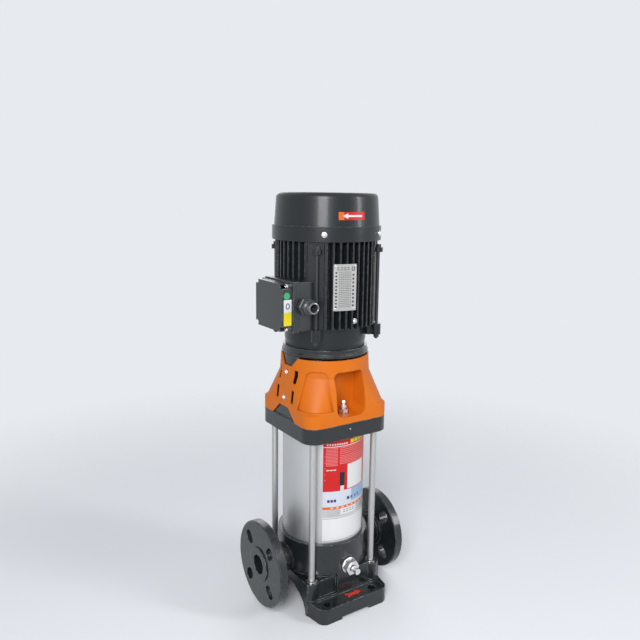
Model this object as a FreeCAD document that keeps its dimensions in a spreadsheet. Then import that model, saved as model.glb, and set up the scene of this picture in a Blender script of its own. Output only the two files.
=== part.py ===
"""Vertical in-line multistage pump with flanged ports, a standard motor and a clamped shaft coupling.

The origin lies on the floor, on the pump's axis. +Z is up along the shaft, +X is the way the water flows
and -Y is the front, with the drain plug and the vent. All lengths are millimetres.
"""

import FreeCAD, Part
import math
import os
import Sketcher

V = FreeCAD.Vector
doc = FreeCAD.newDocument("VerticalMultistagePump")

# Driving sizes
SIZES = {
    # Clearances and thread fits
    "fit_gap": 0.05,
    "loose_gap": 0.3,
    "thread_gap": 0.1,
    # Base casting
    "port_height": 75.0,
    "face_to_face": 250.0,
    "port_bore_r": 16.0,
    "elbow_r": 18.0,
    "foot_reach": 102.5,
    "foot_end_half": 64.5,
    "foot_root_half": 72.0,
    "foot_height": 26.0,
    "pan_depth": 4.0,
    "pan_lip": 4.0,
    "foot_hole_x": 45.0,
    "foot_hole_y": 84.0,
    "foot_hole_r": 6.5,
    "arch_top": 40.0,
    "arch_half": 61.8,
    "sole_relief_half": 27.0,
    "sole_relief": 4.0,
    "block_half": 72.0,
    "block_wall": 66.7,
    "block_top": 55.0,
    "pillar_r": 12.4,
    "drain_block_left": 16.6,
    "drain_block_right": 47.0,
    "drain_block_wall": 72.0,
    "drain_block_top": 61.0,
    "barrel_r": 75.5,
    "barrel_edge": 62.0,
    "barrel_foot_r": 70.0,
    "water_floor": 50.0,
    "water_r": 64.0,
    "seat_height": 98.0,
    "socket_depth": 15.0,
    "inlet_boss_r": 26.0,
    "inlet_tube_r": 20.0,
    "neck_r": 24.0,
    "neck_collar_r": 31.0,
    "neck_collar": 4.0,
    # Flange rings
    "flange_r": 70.0,
    "flange_thick": 15.0,
    "raised_face_r": 27.5,
    "raised_face": 2.0,
    "slot_width": 18.0,
    "slot_inner": 35.5,
    "slot_outer": 59.0,
    "flange_edge": 1.5,
    # Sleeve and its seals
    "sleeve_r": 68.25,
    "sleeve_wall": 1.5,
    "sleeve_depth": 6.0,
    "sleeve_seal_r": 1.65,
    "sleeve_seal_low": 4.5,
    "sleeve_seal_high": 3.4,
    # Tie rods
    "rod_place": 59.6,
    "rod_r": 5.3,
    "rod_thread_r": 5.0,
    "rod_neck_r": 3.9,
    "rod_shoulder": 3.4,
    "rod_screwed_in": 20.0,
    "rod_washer_r": 9.5,
    "rod_washer_thick": 1.6,
    "rod_nut_r": 9.8,
    "rod_nut_thick": 10.0,
    # Drain plug with its bypass spindle
    "drain_boss_r": 15.0,
    "drain_face": 77.0,
    "drain_gasket_thick": 1.5,
    "drain_gasket_r": 13.5,
    "drain_thread_r": 9.5,
    "drain_thread_length": 14.0,
    "drain_collar_r": 13.0,
    "drain_collar": 2.0,
    "drain_hex_r": 12.5,
    "drain_hex": 11.0,
    "spindle_r": 4.0,
    "spindle_head_r": 4.8,
    "spindle_head": 12.0,
    "spindle_rise": 1.5,
    "spindle_tip": 24.0,
    "small_seal_r": 0.8,
    "spindle_travel": 2.0,
    # Pump head and motor stool
    "plate_bottom": 293.0,
    "plate_thick": 25.0,
    "plate_half": 78.3,
    "plate_corner": 23.0,
    "head_recess": 5.0,
    "boss_r": 31.0,
    "boss_height": 20.0,
    "seal_bore_r": 20.0,
    "ring_bottom": 419.0,
    "motor_face": 434.0,
    "ring_r": 70.4,
    "ring_bore_r": 44.0,
    "ring_bead": 3.3,
    "ring_groove": 1.65,
    "column_inside": 60.0,
    "peak_foot": 35.0,
    "peak_top": 13.0,
    "peak_height": 20.0,
    "vee_top": 24.0,
    "vee_bottom": 12.0,
    "vee_height": 404.0,
    "column_half": 15.0,
    # Coupling guards
    "guard_wall": 2.5,
    "skirt_height": 20.0,
    "skirt_ledge": 3.0,
    "shoulder_half": 78.0,
    "shoulder_corner": 34.0,
    "waist_height": 390.0,
    "waist_half": 72.6,
    "waist_corner": 71.0,
    "guard_top": 418.6,
    "guard_top_half": 71.0,
    "guard_top_corner": 69.5,
    "guard_overlap": 8.0,
    "pocket_half": 27.0,
    "pocket_bottom": 328.5,
    "pocket_top": 400.0,
    "pocket_back": 42.0,
    "pocket_low_corner": 14.0,
    "pocket_top_corner": 9.0,
    "panel_angle": 43.0,
    "panel_foot_half": 28.5,
    "panel_top_half": 18.0,
    "panel_bottom": 342.0,
    "panel_top": 401.0,
    "panel_corner": 11.0,
    "panel_depth": 3.5,
    "vent_slot_place": 22.5,
    "vent_slot_width": 8.5,
    "vent_slot_height": 21.0,
    "vent_slot_corner": 2.0,
    "vent_slot_high": 388.5,
    "vent_slot_low": 357.0,
    "guard_screw_high": 393.0,
    "guard_screw_low": 352.0,
    "guard_screw_r": 2.1,
    "guard_screw_head_r": 4.2,
    "guard_screw_head": 2.4,
    "guard_screw_length": 11.0,
    # Vent plug
    "vent_place": 55.0,
    "vent_thread_r": 6.5,
    "vent_collar_r": 8.6,
    "vent_collar": 2.0,
    "vent_hex_r": 8.0,
    "vent_hex": 15.0,
    "vent_spindle_r": 4.2,
    "vent_tip": 5.0,
    "vent_knob_r": 6.0,
    "vent_knob": 13.0,
    "vent_neck_r": 2.8,
    "vent_grip_r": 4.4,
    "vent_thread_length": 15.0,
    # Stack of stages
    "stage_pitch": 18.0,
    "inlet_plate": 6.0,
    "stack_r": 55.0,
    "stack_wall": 1.5,
    "neck_hole_r": 19.0,
    "neck_ring_r": 17.1,
    "diaphragm_low": 11.3,
    "diaphragm_thick": 1.2,
    "diaphragm_r": 49.0,
    "guide_inner_r": 22.0,
    "guide_curve": 34.0,
    "guide_centre": 28.0,
    "guide_thick": 1.2,
    "top_chamber_height": 14.0,
    "top_hole_r": 7.5,
    "strap_width": 12.0,
    "strap_thick": 1.5,
    # Impellers
    "impeller_r": 42.0,
    "impeller_low": 2.2,
    "impeller_high": 10.8,
    "shroud_thick": 1.0,
    "hub_r": 8.0,
    "eye_r": 15.5,
    "vane_start": 14.0,
    "vane_curve": 30.0,
    "vane_centre_x": 12.0,
    "vane_centre_y": -25.0,
    "vane_thick": 1.2,
    # Pump shaft and what it carries
    "shaft_r": 6.0,
    "shaft_bottom": 101.0,
    "shaft_foot_r": 7.5,
    "shaft_top": 386.0,
    "bearing_ring_r": 10.0,
    "bush_r": 12.5,
    "lock_nut_r": 10.5,
    "lock_nut": 6.0,
    "seal_carrier_r": 11.5,
    "seal_ring_r": 13.0,
    "seal_ring": 6.0,
    "seal_seat": 6.0,
    "seal_face": 316.0,
    "seal_skirt_wall": 4.0,
    "seal_plate_r": 29.0,
    "seal_plate": 5.0,
    "gland_screw_place": 25.0,
    "gland_screw_r": 2.5,
    "gland_screw_head_r": 4.2,
    "gland_screw_head": 4.0,
    "gland_screw_length": 16.0,
    # Coupling
    "coupling_r": 27.0,
    "coupling_bottom": 352.0,
    "coupling_length": 56.0,
    "coupling_split": 2.0,
    "coupling_bolt_place": 18.5,
    "coupling_bolt_r": 3.0,
    "coupling_bolt_head_r": 5.2,
    "coupling_bolt_head": 4.0,
    "coupling_bolt_reach": 18.0,
    "coupling_bolt_margin": 12.0,
    "pin_r": 2.5,
    "pin_height": 372.0,
    # Motor end shields and frame
    "shield_foot_r": 64.9,
    "shield_r": 66.0,
    "frame_bottom": 469.6,
    "frame_top": 602.4,
    "shield_floor": 10.0,
    "shield_web": 3.0,
    "shield_hub_r": 30.0,
    "frame_bore_r": 62.0,
    "frame_r": 69.0,
    "fin_r": 81.7,
    "fin_pitch": 10.2,
    "fin_thick": 2.6,
    "corner_face": 79.1,
    "corner_half": 18.0,
    "bolt_x": 57.7,
    "bolt_y": 61.0,
    "bolt_r": 2.5,
    "bolt_head_r": 4.6,
    "bolt_head": 4.5,
    "bolt_seat_low": 452.0,
    "bolt_seat_high": 591.5,
    "lug_half": 7.0,
    "lug_thick": 7.5,
    "lug_blend": 8.8,
    "rear_wall": 6.0,
    "rear_rim": 5.0,
    "rear_wall_height": 16.5,
    "rear_spigot": 4.4,
    # Motor bolts
    "motor_bolt_circle_r": 57.5,
    "motor_bolt_r": 4.0,
    "motor_bolt_head_r": 7.4,
    "motor_bolt_head": 5.3,
    "motor_bolt_grip": 11.0,
    # Motor bearings and rotor
    "bearing_bore_r": 10.0,
    "bearing_outer_r": 23.5,
    "bearing_width": 14.0,
    "bearing_pitch_r": 16.75,
    "bearing_ball_r": 3.9,
    "bearing_inner_shoulder": 14.2,
    "bearing_outer_shoulder": 19.3,
    "drive_bearing": 446.0,
    "fan_bearing": 604.0,
    "motor_shaft_r": 9.5,
    "motor_shaft_end": 394.0,
    "shaft_body_r": 12.0,
    "motor_shaft_top": 652.0,
    "core_bottom": 488.0,
    "core_top": 584.0,
    "air_gap": 0.35,
    "rotor_r": 34.0,
    "winding_inner_r": 38.0,
    "winding_outer_r": 58.0,
    "winding_height": 13.0,
    # Fan and its cover
    "fan_bottom": 624.0,
    "fan_hub_r": 16.0,
    "fan_disc_r": 60.0,
    "fan_blade_r": 68.0,
    "fan_blade_height": 24.0,
    "fan_blade_thick": 2.2,
    "band_r": 86.6,
    "band_top": 624.9,
    "cover_foot_r": 83.8,
    "cover_shoulder_r": 80.9,
    "cover_corner": 9.0,
    "cover_top": 675.0,
    "cover_wall": 1.8,
    "grille_inner": 22.0,
    "grille_outer": 60.0,
    "grille_slot": 4.5,
    "cover_screw_angle": 36.0,
    "cover_screw_height": 613.5,
    "cover_screw_r": 2.5,
    "cover_screw_head_r": 4.8,
    "cover_screw_head": 2.8,
    "cover_screw_length": 8.0,
    # Terminal box
    "box_centre": -14.8,
    "box_half": 41.2,
    "box_bottom": 469.9,
    "box_top": 543.3,
    "box_seat": 52.0,
    "box_mouth": 96.0,
    "box_rim": 10.3,
    "box_rim_proud": 1.2,
    "box_wall": 4.0,
    "box_floor": 76.0,
    "lid_face": 113.4,
    "lid_inset": 1.0,
    "lid_wall": 3.0,
    "lid_notch": 9.0,
    "lid_flange": 7.0,
    "lid_screw_r": 2.2,
    "lid_screw_head_r": 3.6,
    "lid_screw_head": 3.0,
    "lid_screw_length": 14.0,
    "board_half_y": 22.0,
    "board_half_z": 15.0,
    "board_thick": 6.0,
    "stud_r": 2.2,
    "stud_length": 12.0,
    "stud_pitch": 14.0,
    # Cable gland
    "gland_x": -75.9,
    "gland_height": 507.9,
    "gland_thread_r": 10.0,
    "gland_hex_r": 14.2,
    "gland_hex": 9.0,
    "gland_neck": 6.0,
    "gland_nut_r": 12.6,
    "gland_nut_end_r": 9.0,
    "gland_nut": 19.0,
    "gland_bore_r": 6.0,
}

# Counts
STAGES = 10
VANES = 6
GUIDES = 6
FINS = 10
FAN_BLADES = 8
GRILLE_SLOTS = 18
BALLS = 8

sheet = doc.addObject("Spreadsheet::Sheet", "Sizes")
for row, (size_name, number) in enumerate(SIZES.items(), start=1):
    sheet.set(f"A{row}", size_name)
    sheet.set(f"B{row}", str(number))
    sheet.setAlias(f"B{row}", size_name)
doc.recompute()


class Size:
    """A length that carries its number and the sheet formula that it comes from."""

    def __init__(self, value, text):
        self.value = value
        self.text = text

    def __float__(self):
        return self.value

    def __add__(self, other):
        return Size(self.value + float(other), f"({self.text} + {formula(other)})")

    def __radd__(self, other):
        return Size(float(other) + self.value, f"({formula(other)} + {self.text})")

    def __sub__(self, other):
        return Size(self.value - float(other), f"({self.text} - {formula(other)})")

    def __rsub__(self, other):
        return Size(float(other) - self.value, f"({formula(other)} - {self.text})")

    def __mul__(self, other):
        return Size(self.value * float(other), f"({self.text} * {formula(other)})")

    def __truediv__(self, other):
        return Size(self.value / float(other), f"({self.text} / {formula(other)})")

    def __neg__(self):
        return Size(-self.value, f"(0 - {self.text})")

    __rmul__ = __mul__


def formula(size):
    """A size's sheet formula, or a bare number in brackets."""
    return size.text if isinstance(size, Size) else f"({float(size)})"


class SheetSizes:
    """Gives every alias of the sheet as a Size."""

    def __getattr__(self, name):
        return Size(float(sheet.get(name)), f"Sizes.{name}")


s = SheetSizes()

# Heights that follow from the driving sizes
plate_top = s.plate_bottom + s.plate_thick
boss_top = plate_top + s.boss_height
sleeve_top = s.plate_bottom + s.sleeve_depth
barrel_top = s.seat_height + s.socket_depth
sleeve_bore_r = s.sleeve_r + s.loose_gap
flange_face = s.face_to_face / 2 - s.raised_face
flange_back = flange_face - s.flange_thick
stack_bottom = s.seat_height + s.inlet_plate
stack_top = stack_bottom + s.stage_pitch * STAGES
top_chamber_top = stack_top + s.top_chamber_height
ledge_top = plate_top + s.skirt_height + s.skirt_ledge
coupling_top = s.coupling_bottom + s.coupling_length
seal_seat_top = s.seal_face + s.seal_seat
drain_seat = s.drain_face + s.drain_gasket_thick
drain_hex_end = drain_seat + s.drain_collar + s.drain_hex
cover_seat_r = s.band_r - s.cover_wall - s.thread_gap
box_front = s.box_centre - s.box_half
box_back = s.box_centre + s.box_half


def tie(thing, key, size):
    """Bind one property or constraint to the sheet, where its size comes from there."""
    if isinstance(size, Size):
        thing.setExpression(key, size.text)


# Directions in which a primitive's own Z can point
TURNS = {
    "+Z": FreeCAD.Rotation(),
    "+X": FreeCAD.Rotation(V(0, 1, 0), 90),
    "-X": FreeCAD.Rotation(V(0, 1, 0), -90),
    "+Y": FreeCAD.Rotation(V(1, 0, 0), -90),
    "-Y": FreeCAD.Rotation(V(1, 0, 0), 90),
}


def place(thing, at=(0, 0, 0), along="+Z"):
    """Put an object at a point, with its own Z along one of the frame's axes."""
    turn = TURNS[along] if isinstance(along, str) else FreeCAD.Rotation(V(0, 0, 1), float(along))
    thing.Placement = FreeCAD.Placement(V(*(float(c) for c in at)), turn)
    for axis, size in zip("xyz", at):
        tie(thing, f"Placement.Base.{axis}", size)
    return thing


def primitive(kind, at, along, **sizes):
    thing = doc.addObject(f"Part::{kind}", kind)
    for key, size in sizes.items():
        setattr(thing, key, float(size))
        tie(thing, key, size)
    return place(thing, at, along)


def rod(radius, low, high, at=(0, 0), along="+Z"):
    """A cylinder from low to high along an axis that passes through a point of the other two."""
    sign = -1 if along[0] == "-" else 1
    first, second = at
    start = {"Z": (first, second, low), "X": (sign * low, first, second), "Y": (first, sign * low, second)}
    return primitive("Cylinder", start[along[1]], along, Radius=radius, Height=high - low)


def box(x_range, y_range, z_range):
    ranges = (x_range, y_range, z_range)
    corner = [pair[0] for pair in ranges]
    length, width, height = (pair[1] - pair[0] for pair in ranges)
    return primitive("Box", corner, "+Z", Length=length, Width=width, Height=height)


def hexagon(radius, low, high, at=(0, 0), along="+Z"):
    """A hexagonal prism, its radius measured over the corners."""
    sign = -1 if along[0] == "-" else 1
    first, second = at
    start = {"Z": (first, second, low), "X": (sign * low, first, second), "Y": (first, sign * low, second)}
    thing = primitive("Prism", start[along[1]], along, Circumradius=radius, Height=high - low)
    thing.Polygon = 6
    return thing


def torus(ring_r, section_r, at, along="+Z"):
    return primitive("Torus", at, along, Radius1=ring_r, Radius2=section_r)


def join(*things):
    if len(things) == 1:
        return things[0]
    whole = doc.addObject("Part::MultiFuse", "Joined")
    whole.Shapes = list(things)
    whole.Refine = True
    return whole


def cut(base, *tools):
    rest = doc.addObject("Part::Cut", "Cut")
    rest.Base = base
    rest.Tool = join(*tools)
    rest.Refine = True
    return rest


def shared(first, second):
    both = doc.addObject("Part::Common", "Common")
    both.Base = first
    both.Tool = second
    both.Refine = True
    return both


def origin_plane(body, role):
    return next(feature for feature in body.Origin.OriginFeatures if feature.Role == role)


def new_body():
    return doc.addObject("PartDesign::Body", "Body")


def new_sketch(body, role="XY_Plane", height=0):
    sketch = body.newObject("Sketcher::SketchObject", "Outline")
    sketch.AttachmentSupport = [(origin_plane(body, role), "")]
    sketch.MapMode = "FlatFace"
    sketch.AttachmentOffset = FreeCAD.Placement(V(0, 0, float(height)), FreeCAD.Rotation())
    tie(sketch, "AttachmentOffset.Base.z", height)
    return sketch


def limit(sketch, *rule):
    """Add a constraint whose last value may be a Size."""
    *start, size = rule
    number = sketch.addConstraint(Sketcher.Constraint(*start, float(size)))
    tie(sketch, f"Constraints[{number}]", size)


def pin_point(sketch, edge, end, x, y):
    limit(sketch, "DistanceX", -1, 1, edge, end, x)
    limit(sketch, "DistanceY", -1, 1, edge, end, y)


def add_arc(sketch, centre, radius, start, end):
    """An arc that runs the short way from start to end: its edge number and the ends in that order."""
    first = math.atan2(start.y - centre.y, start.x - centre.x)
    last = math.atan2(end.y - centre.y, end.x - centre.x)
    backwards = (last - first) % (2 * math.pi) > math.pi
    if backwards:
        first, last = last, first
    circle = Part.Circle(centre, V(0, 0, 1), float(radius))
    edge = sketch.addGeometry(Part.ArcOfCircle(circle, first, first + (last - first) % (2 * math.pi)))
    limit(sketch, "Radius", edge, radius)
    return edge, (2, 1) if backwards else (1, 2)


def step_towards(point, other, length):
    """The point moved by a length towards a neighbour in the same row or column."""
    dx = float(other[0]) - float(point[0])
    dy = float(other[1]) - float(point[1])
    if abs(dx) > abs(dy):
        return point[0] + length * math.copysign(1, dx), point[1]
    return point[0], point[1] + length * math.copysign(1, dy)


def flat(point):
    return V(float(point[0]), float(point[1]), 0)


def draw(sketch, points):
    """A closed outline through (x, y) points. A third value rounds a corner between square edges."""
    count = len(points)
    corners = []
    for i, point in enumerate(points):
        if len(point) == 2:
            corners.append((point, point))
            continue
        before, after = points[i - 1], points[(i + 1) % count]
        corners.append((step_towards(point, before, point[2]), step_towards(point, after, point[2])))
    lines = []
    for i in range(count):
        start, end = corners[i][1], corners[(i + 1) % count][0]
        lines.append(sketch.addGeometry(Part.LineSegment(flat(start), flat(end))))
    for i, point in enumerate(points):
        arriving, leaving = corners[i]
        pin_point(sketch, lines[i], 1, *leaving[:2])
        if len(point) == 2:
            sketch.addConstraint(Sketcher.Constraint("Coincident", lines[i - 1], 2, lines[i], 1))
            continue
        pin_point(sketch, lines[i - 1], 2, *arriving[:2])
        centre = flat(arriving) + flat(leaving) - flat(point)
        arc, ends = add_arc(sketch, centre, point[2], flat(arriving), flat(leaving))
        sketch.addConstraint(Sketcher.Constraint("Coincident", lines[i - 1], 2, arc, ends[0]))
        sketch.addConstraint(Sketcher.Constraint("Coincident", arc, ends[1], lines[i], 1))
    return sketch


def rounded(across, up, low_corner, high_corner=None):
    """A rectangle between two pairs of edges, with round corners."""
    (left, right), (low, high) = across, up
    top_corner = low_corner if high_corner is None else high_corner
    return [
        (left, low, low_corner),
        (right, low, low_corner),
        (right, high, top_corner),
        (left, high, top_corner),
    ]


def square(half_x, half_y, corner):
    """A centred rectangle with round corners."""
    return rounded((-half_x, half_x), (-half_y, half_y), corner)


def quarter_round(side, top, corner):
    """Points that lead from an upright side over a round corner to a flat top."""
    points = []
    for degrees in range(0, 91, 15):
        turn = math.radians(degrees)
        points.append((side - corner * (1 - math.cos(turn)), top - corner * (1 - math.sin(turn))))
    return points


def feature(body, kind, sketch, **sizes):
    made = body.newObject(f"PartDesign::{kind}", kind)
    made.Profile = sketch
    for key, size in sizes.items():
        setattr(made, key, float(size))
        tie(made, key, size)
    body.Tip = made
    return made


def turn_on(body, points, kind="Revolution"):
    """Turn an outline of (radius, height) points about the body's own Z."""
    sketch = draw(new_sketch(body, "XZ_Plane"), points)
    made = feature(body, kind, sketch, Angle=360)
    made.ReferenceAxis = (sketch, ["V_Axis"])
    return made


def turned(points, at=(0, 0, 0), along="+Z"):
    body = new_body()
    turn_on(body, points)
    return place(body, at, along)


def ring(inner, outer, low, high, at=(0, 0, 0), along="+Z"):
    return turned([(inner, low), (outer, low), (outer, high), (inner, high)], at, along)


def padded(points, low, high, role="XY_Plane"):
    """An outline raised from low to high along the normal of one of the body's planes."""
    body = new_body()
    feature(body, "Pad", draw(new_sketch(body, role, low), points), Length=high - low)
    return body


def repeat_round(body, made, sketch, copies):
    pattern = body.newObject("PartDesign::PolarPattern", "Round")
    pattern.Originals = [made]
    pattern.Axis = (sketch, ["N_Axis"])
    pattern.Angle = 360
    pattern.Occurrences = copies
    body.Tip = pattern


def crossing(centre, large, small):
    """Where a circle about the origin meets one about the centre, on the side counter-clockwise of it."""
    distance = centre.Length
    along = (large**2 - small**2 + distance**2) / (2 * distance)
    aside = math.sqrt(large**2 - along**2)
    unit = centre / distance
    return V(along * unit.x - aside * unit.y, along * unit.y + aside * unit.x, 0)


def add_vanes(body, low, high, inner, outer, centre, curve, wall, copies):
    """Vanes bent to an arc, from an inner to an outer circle, spaced evenly round the body."""
    sketch = new_sketch(body, "XY_Plane", low)
    middle = flat(centre)
    circles = []
    for radius in (inner, outer):
        circle = sketch.addGeometry(Part.Circle(V(), V(0, 0, 1), float(radius)), True)
        sketch.addConstraint(Sketcher.Constraint("Coincident", circle, 3, -1, 1))
        limit(sketch, "Radius", circle, radius)
        circles.append(circle)
    faces = []
    for radius in (curve, curve + wall):
        ends = [crossing(middle, float(circle_r), float(radius)) for circle_r in (inner, outer)]
        faces.append((*add_arc(sketch, middle, radius, *ends), ends))
    pin_point(sketch, faces[0][0], 3, *centre)
    sketch.addConstraint(Sketcher.Constraint("Coincident", faces[1][0], 3, faces[0][0], 3))
    for end in (0, 1):
        edge = sketch.addGeometry(Part.LineSegment(faces[0][2][end], faces[1][2][end]))
        for corner, (arc, arc_ends, _) in enumerate(faces, start=1):
            sketch.addConstraint(Sketcher.Constraint("Coincident", edge, corner, arc, arc_ends[end]))
            sketch.addConstraint(Sketcher.Constraint("PointOnObject", edge, corner, circles[end]))
    repeat_round(body, feature(body, "Pad", sketch, Length=high - low), sketch, copies)


# Directions of the fan cover's screws, as angles about Z from +X
COVER_SCREW_TURNS = [
    half_turn + 90 + side * float(s.cover_screw_angle) for half_turn in (0, 180) for side in (-1, 1)
]

subparts = []
repeats = []


def subpart(name, thing):
    thing.Label = name
    subparts.append(thing)


def repeated(name, piece, moves):
    """A node that holds one copy of the piece for each (x, y, z, turn about Z)."""
    repeats.append((name, piece, moves))


def four(x, y, z=0.0):
    return [(sx * float(x), sy * float(y), float(z), 0.0) for sx in (-1, 1) for sy in (-1, 1)]


def round_places(count, radius=0.0, z=0.0, first=0.0):
    """Places spaced evenly on a circle, each turned by its own angle."""
    moves = []
    for i in range(count):
        angle = first + 360.0 * i / count
        turn = math.radians(angle)
        moves.append((float(radius) * math.cos(turn), float(radius) * math.sin(turn), float(z), angle))
    return moves


def foot_arch():
    """An elliptical bar along the flow that takes the arch out of the foot."""
    outline = doc.addObject("Part::Ellipse", "Ellipse")
    outline.MajorRadius, outline.MinorRadius = float(s.arch_half), float(s.arch_top)
    tie(outline, "MajorRadius", s.arch_half)
    tie(outline, "MinorRadius", s.arch_top)
    place(outline, (-s.face_to_face / 2, 0, 0))
    upright = FreeCAD.Rotation(V(0, 1, 0), V(0, 0, 1), V(1, 0, 0), "XYZ")
    outline.Placement = FreeCAD.Placement(outline.Placement.Base, upright)
    bar = doc.addObject("Part::Extrusion", "Extrusion")
    bar.Base = outline
    bar.DirMode = "Custom"
    bar.Dir = V(1, 0, 0)
    bar.Solid = True
    bar.LengthFwd = float(s.face_to_face)
    tie(bar, "LengthFwd", s.face_to_face)
    return bar


# Base casting with its feet, pillars, necks and water passages
def base_casting():
    foot = padded(
        [
            (-s.foot_end_half, -s.foot_reach),
            (s.foot_end_half, -s.foot_reach),
            (s.foot_root_half, -s.rod_place),
            (s.foot_root_half, s.rod_place),
            (s.foot_end_half, s.foot_reach),
            (-s.foot_end_half, s.foot_reach),
            (-s.foot_root_half, s.rod_place),
            (-s.foot_root_half, -s.rod_place),
        ],
        0,
        s.foot_height,
    )
    solids = [foot]
    solids.append(box((-s.block_half, s.block_half), (-s.block_wall, s.block_wall), (0, s.block_top)))
    drain_block = (
        (-s.drain_block_left, s.drain_block_right),
        (-s.drain_block_wall, 0),
        (0, s.drain_block_top),
    )
    solids.append(box(*drain_block))
    for sx, sy in ((-1, -1), (1, -1), (-1, 1), (1, 1)):
        solids.append(rod(s.pillar_r, 0, s.block_top, (sx * s.rod_place, sy * s.rod_place)))
    solids.append(rod(s.barrel_foot_r, s.water_floor, s.barrel_edge))
    solids.append(rod(s.barrel_r, s.barrel_edge, barrel_top))
    collar_start = flange_back - s.neck_collar
    for along in ("-X", "+X"):
        centre = (0, s.port_height)
        solids.append(rod(s.neck_r, 0, flange_back, centre, along))
        solids.append(rod(s.neck_collar_r, collar_start, flange_back, centre, along))
        solids.append(rod(s.raised_face_r, collar_start, s.face_to_face / 2, centre, along))
    solids.append(rod(s.drain_boss_r, 0, s.drain_face, (0, s.port_height), "-Y"))

    water = rod(s.water_r, s.water_floor, s.seat_height)
    sleeve_hole = rod(sleeve_bore_r, s.seat_height, barrel_top)
    seal_groove = rod(
        s.sleeve_r + 2 * s.sleeve_seal_r,
        s.seat_height + s.sleeve_seal_low - s.sleeve_seal_r,
        s.seat_height + s.sleeve_seal_low + s.sleeve_seal_r,
    )
    tools = [water, sleeve_hole, seal_groove, foot_arch()]
    relief_x = (-s.sole_relief_half, s.sole_relief_half)
    tools.append(box(relief_x, (-s.foot_reach, s.foot_reach), (0, s.sole_relief)))
    pan_x = (s.pan_lip - s.foot_end_half, s.foot_end_half - s.pan_lip)
    pan_z = (s.foot_height - s.pan_depth, s.foot_height)
    for side in (-1, 1):
        lip = side * (s.foot_reach - s.pan_lip)
        wall = side * (s.rod_place + s.pillar_r)
        pan_y = (lip, wall) if side < 0 else (wall, lip)
        tools.append(box(pan_x, pan_y, pan_z))
    for sx, sy in ((-1, -1), (1, -1), (-1, 1), (1, 1)):
        tools.append(rod(s.foot_hole_r, 0, s.foot_height, (sx * s.foot_hole_x, sy * s.foot_hole_y)))
        thread = (s.block_top - s.rod_screwed_in, s.block_top)
        tools.append(rod(s.rod_thread_r + s.thread_gap, *thread, (sx * s.rod_place, sy * s.rod_place)))
    shell = cut(join(*solids), *tools)

    inlet = [rod(s.inlet_boss_r, s.water_floor, s.seat_height)]
    inlet.append(rod(s.inlet_tube_r, 0, s.barrel_r - s.sleeve_wall, (0, s.port_height), "-X"))
    past_boss = s.inlet_boss_r + s.pan_lip
    passages = [
        primitive("Sphere", (0, 0, s.port_height), "+Z", Radius=s.elbow_r),
        rod(s.port_bore_r, 0, s.face_to_face / 2, (0, s.port_height), "-X"),
        rod(s.port_bore_r, s.port_height, s.seat_height),
        rod(s.port_bore_r, past_boss, s.face_to_face / 2, (0, s.port_height), "+X"),
        rod(s.drain_thread_r + s.thread_gap, past_boss, s.drain_face, (0, s.port_height), "-Y"),
        rod(s.spindle_r + s.loose_gap, 0, s.inlet_boss_r, (0, s.port_height), "-Y"),
    ]
    subpart("base_casting", cut(join(shell, *inlet), *passages))


# Loose flange rings with four radial slots that take two bolt circles
def flange_ring(name, along):
    body = new_body()
    bore = s.raised_face_r + s.loose_gap / 2
    edge = s.flange_edge
    turn_on(
        body,
        [
            (bore, flange_back),
            (s.flange_r - edge, flange_back),
            (s.flange_r, flange_back + edge),
            (s.flange_r, flange_face - edge),
            (s.flange_r - edge, flange_face),
            (bore, flange_face),
        ],
    )
    half = s.slot_width / 2
    corner = half - s.fit_gap
    slot = [
        (s.slot_inner, -half, corner),
        (s.slot_outer, -half, corner),
        (s.slot_outer, half, corner),
        (s.slot_inner, half, corner),
    ]
    sketch = draw(new_sketch(body, "XY_Plane", flange_face), slot)
    repeat_round(body, feature(body, "Pocket", sketch, Length=s.flange_thick), sketch, 4)
    place(body, (0, 0, s.port_height), along)
    spin = FreeCAD.Rotation(V(1, 0, 0), 45)
    body.Placement = FreeCAD.Placement(body.Placement.Base, spin * body.Placement.Rotation)
    tie(body, "Placement.Base.z", s.port_height)
    subpart(name, body)


def sleeve_and_rods():
    subpart("outer_sleeve", ring(s.sleeve_r - s.sleeve_wall, s.sleeve_r, s.seat_height, sleeve_top))
    seal = torus(s.sleeve_r + s.sleeve_seal_r, s.sleeve_seal_r - s.fit_gap, (0, 0, 0))
    low = float(s.seat_height + s.sleeve_seal_low)
    high = float(s.plate_bottom + s.sleeve_seal_high)
    repeated("sleeve_o_rings", seal, [(0, 0, low, 0), (0, 0, high, 0)])

    thread_top = s.block_top + s.rod_washer_thick
    nut_top = plate_top + s.rod_washer_thick + s.rod_nut_thick
    tie_rod = turned(
        [
            (0, s.block_top - s.rod_screwed_in),
            (s.rod_thread_r, s.block_top - s.rod_screwed_in),
            (s.rod_thread_r, thread_top),
            (s.rod_neck_r, thread_top),
            (s.rod_neck_r, s.block_top + s.rod_shoulder),
            (s.rod_r, s.block_top + s.rod_shoulder),
            (s.rod_r, s.plate_bottom - s.rod_washer_thick),
            (s.rod_thread_r, s.plate_bottom - s.rod_washer_thick),
            (s.rod_thread_r, nut_top + s.rod_washer_thick),
            (0, nut_top + s.rod_washer_thick),
        ]
    )
    repeated("tie_rods", tie_rod, four(s.rod_place, s.rod_place))
    washer = ring(s.rod_thread_r + s.thread_gap, s.rod_washer_r, 0, s.rod_washer_thick)
    heights = (s.block_top, plate_top)
    washers = [move for z in heights for move in four(s.rod_place, s.rod_place, z)]
    repeated("tie_rod_washers", washer, washers)
    nut = cut(
        hexagon(s.rod_nut_r, plate_top + s.rod_washer_thick, nut_top),
        rod(s.rod_thread_r + s.thread_gap, plate_top, nut_top),
    )
    repeated("tie_rod_nuts", nut, four(s.rod_place, s.rod_place))


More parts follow.
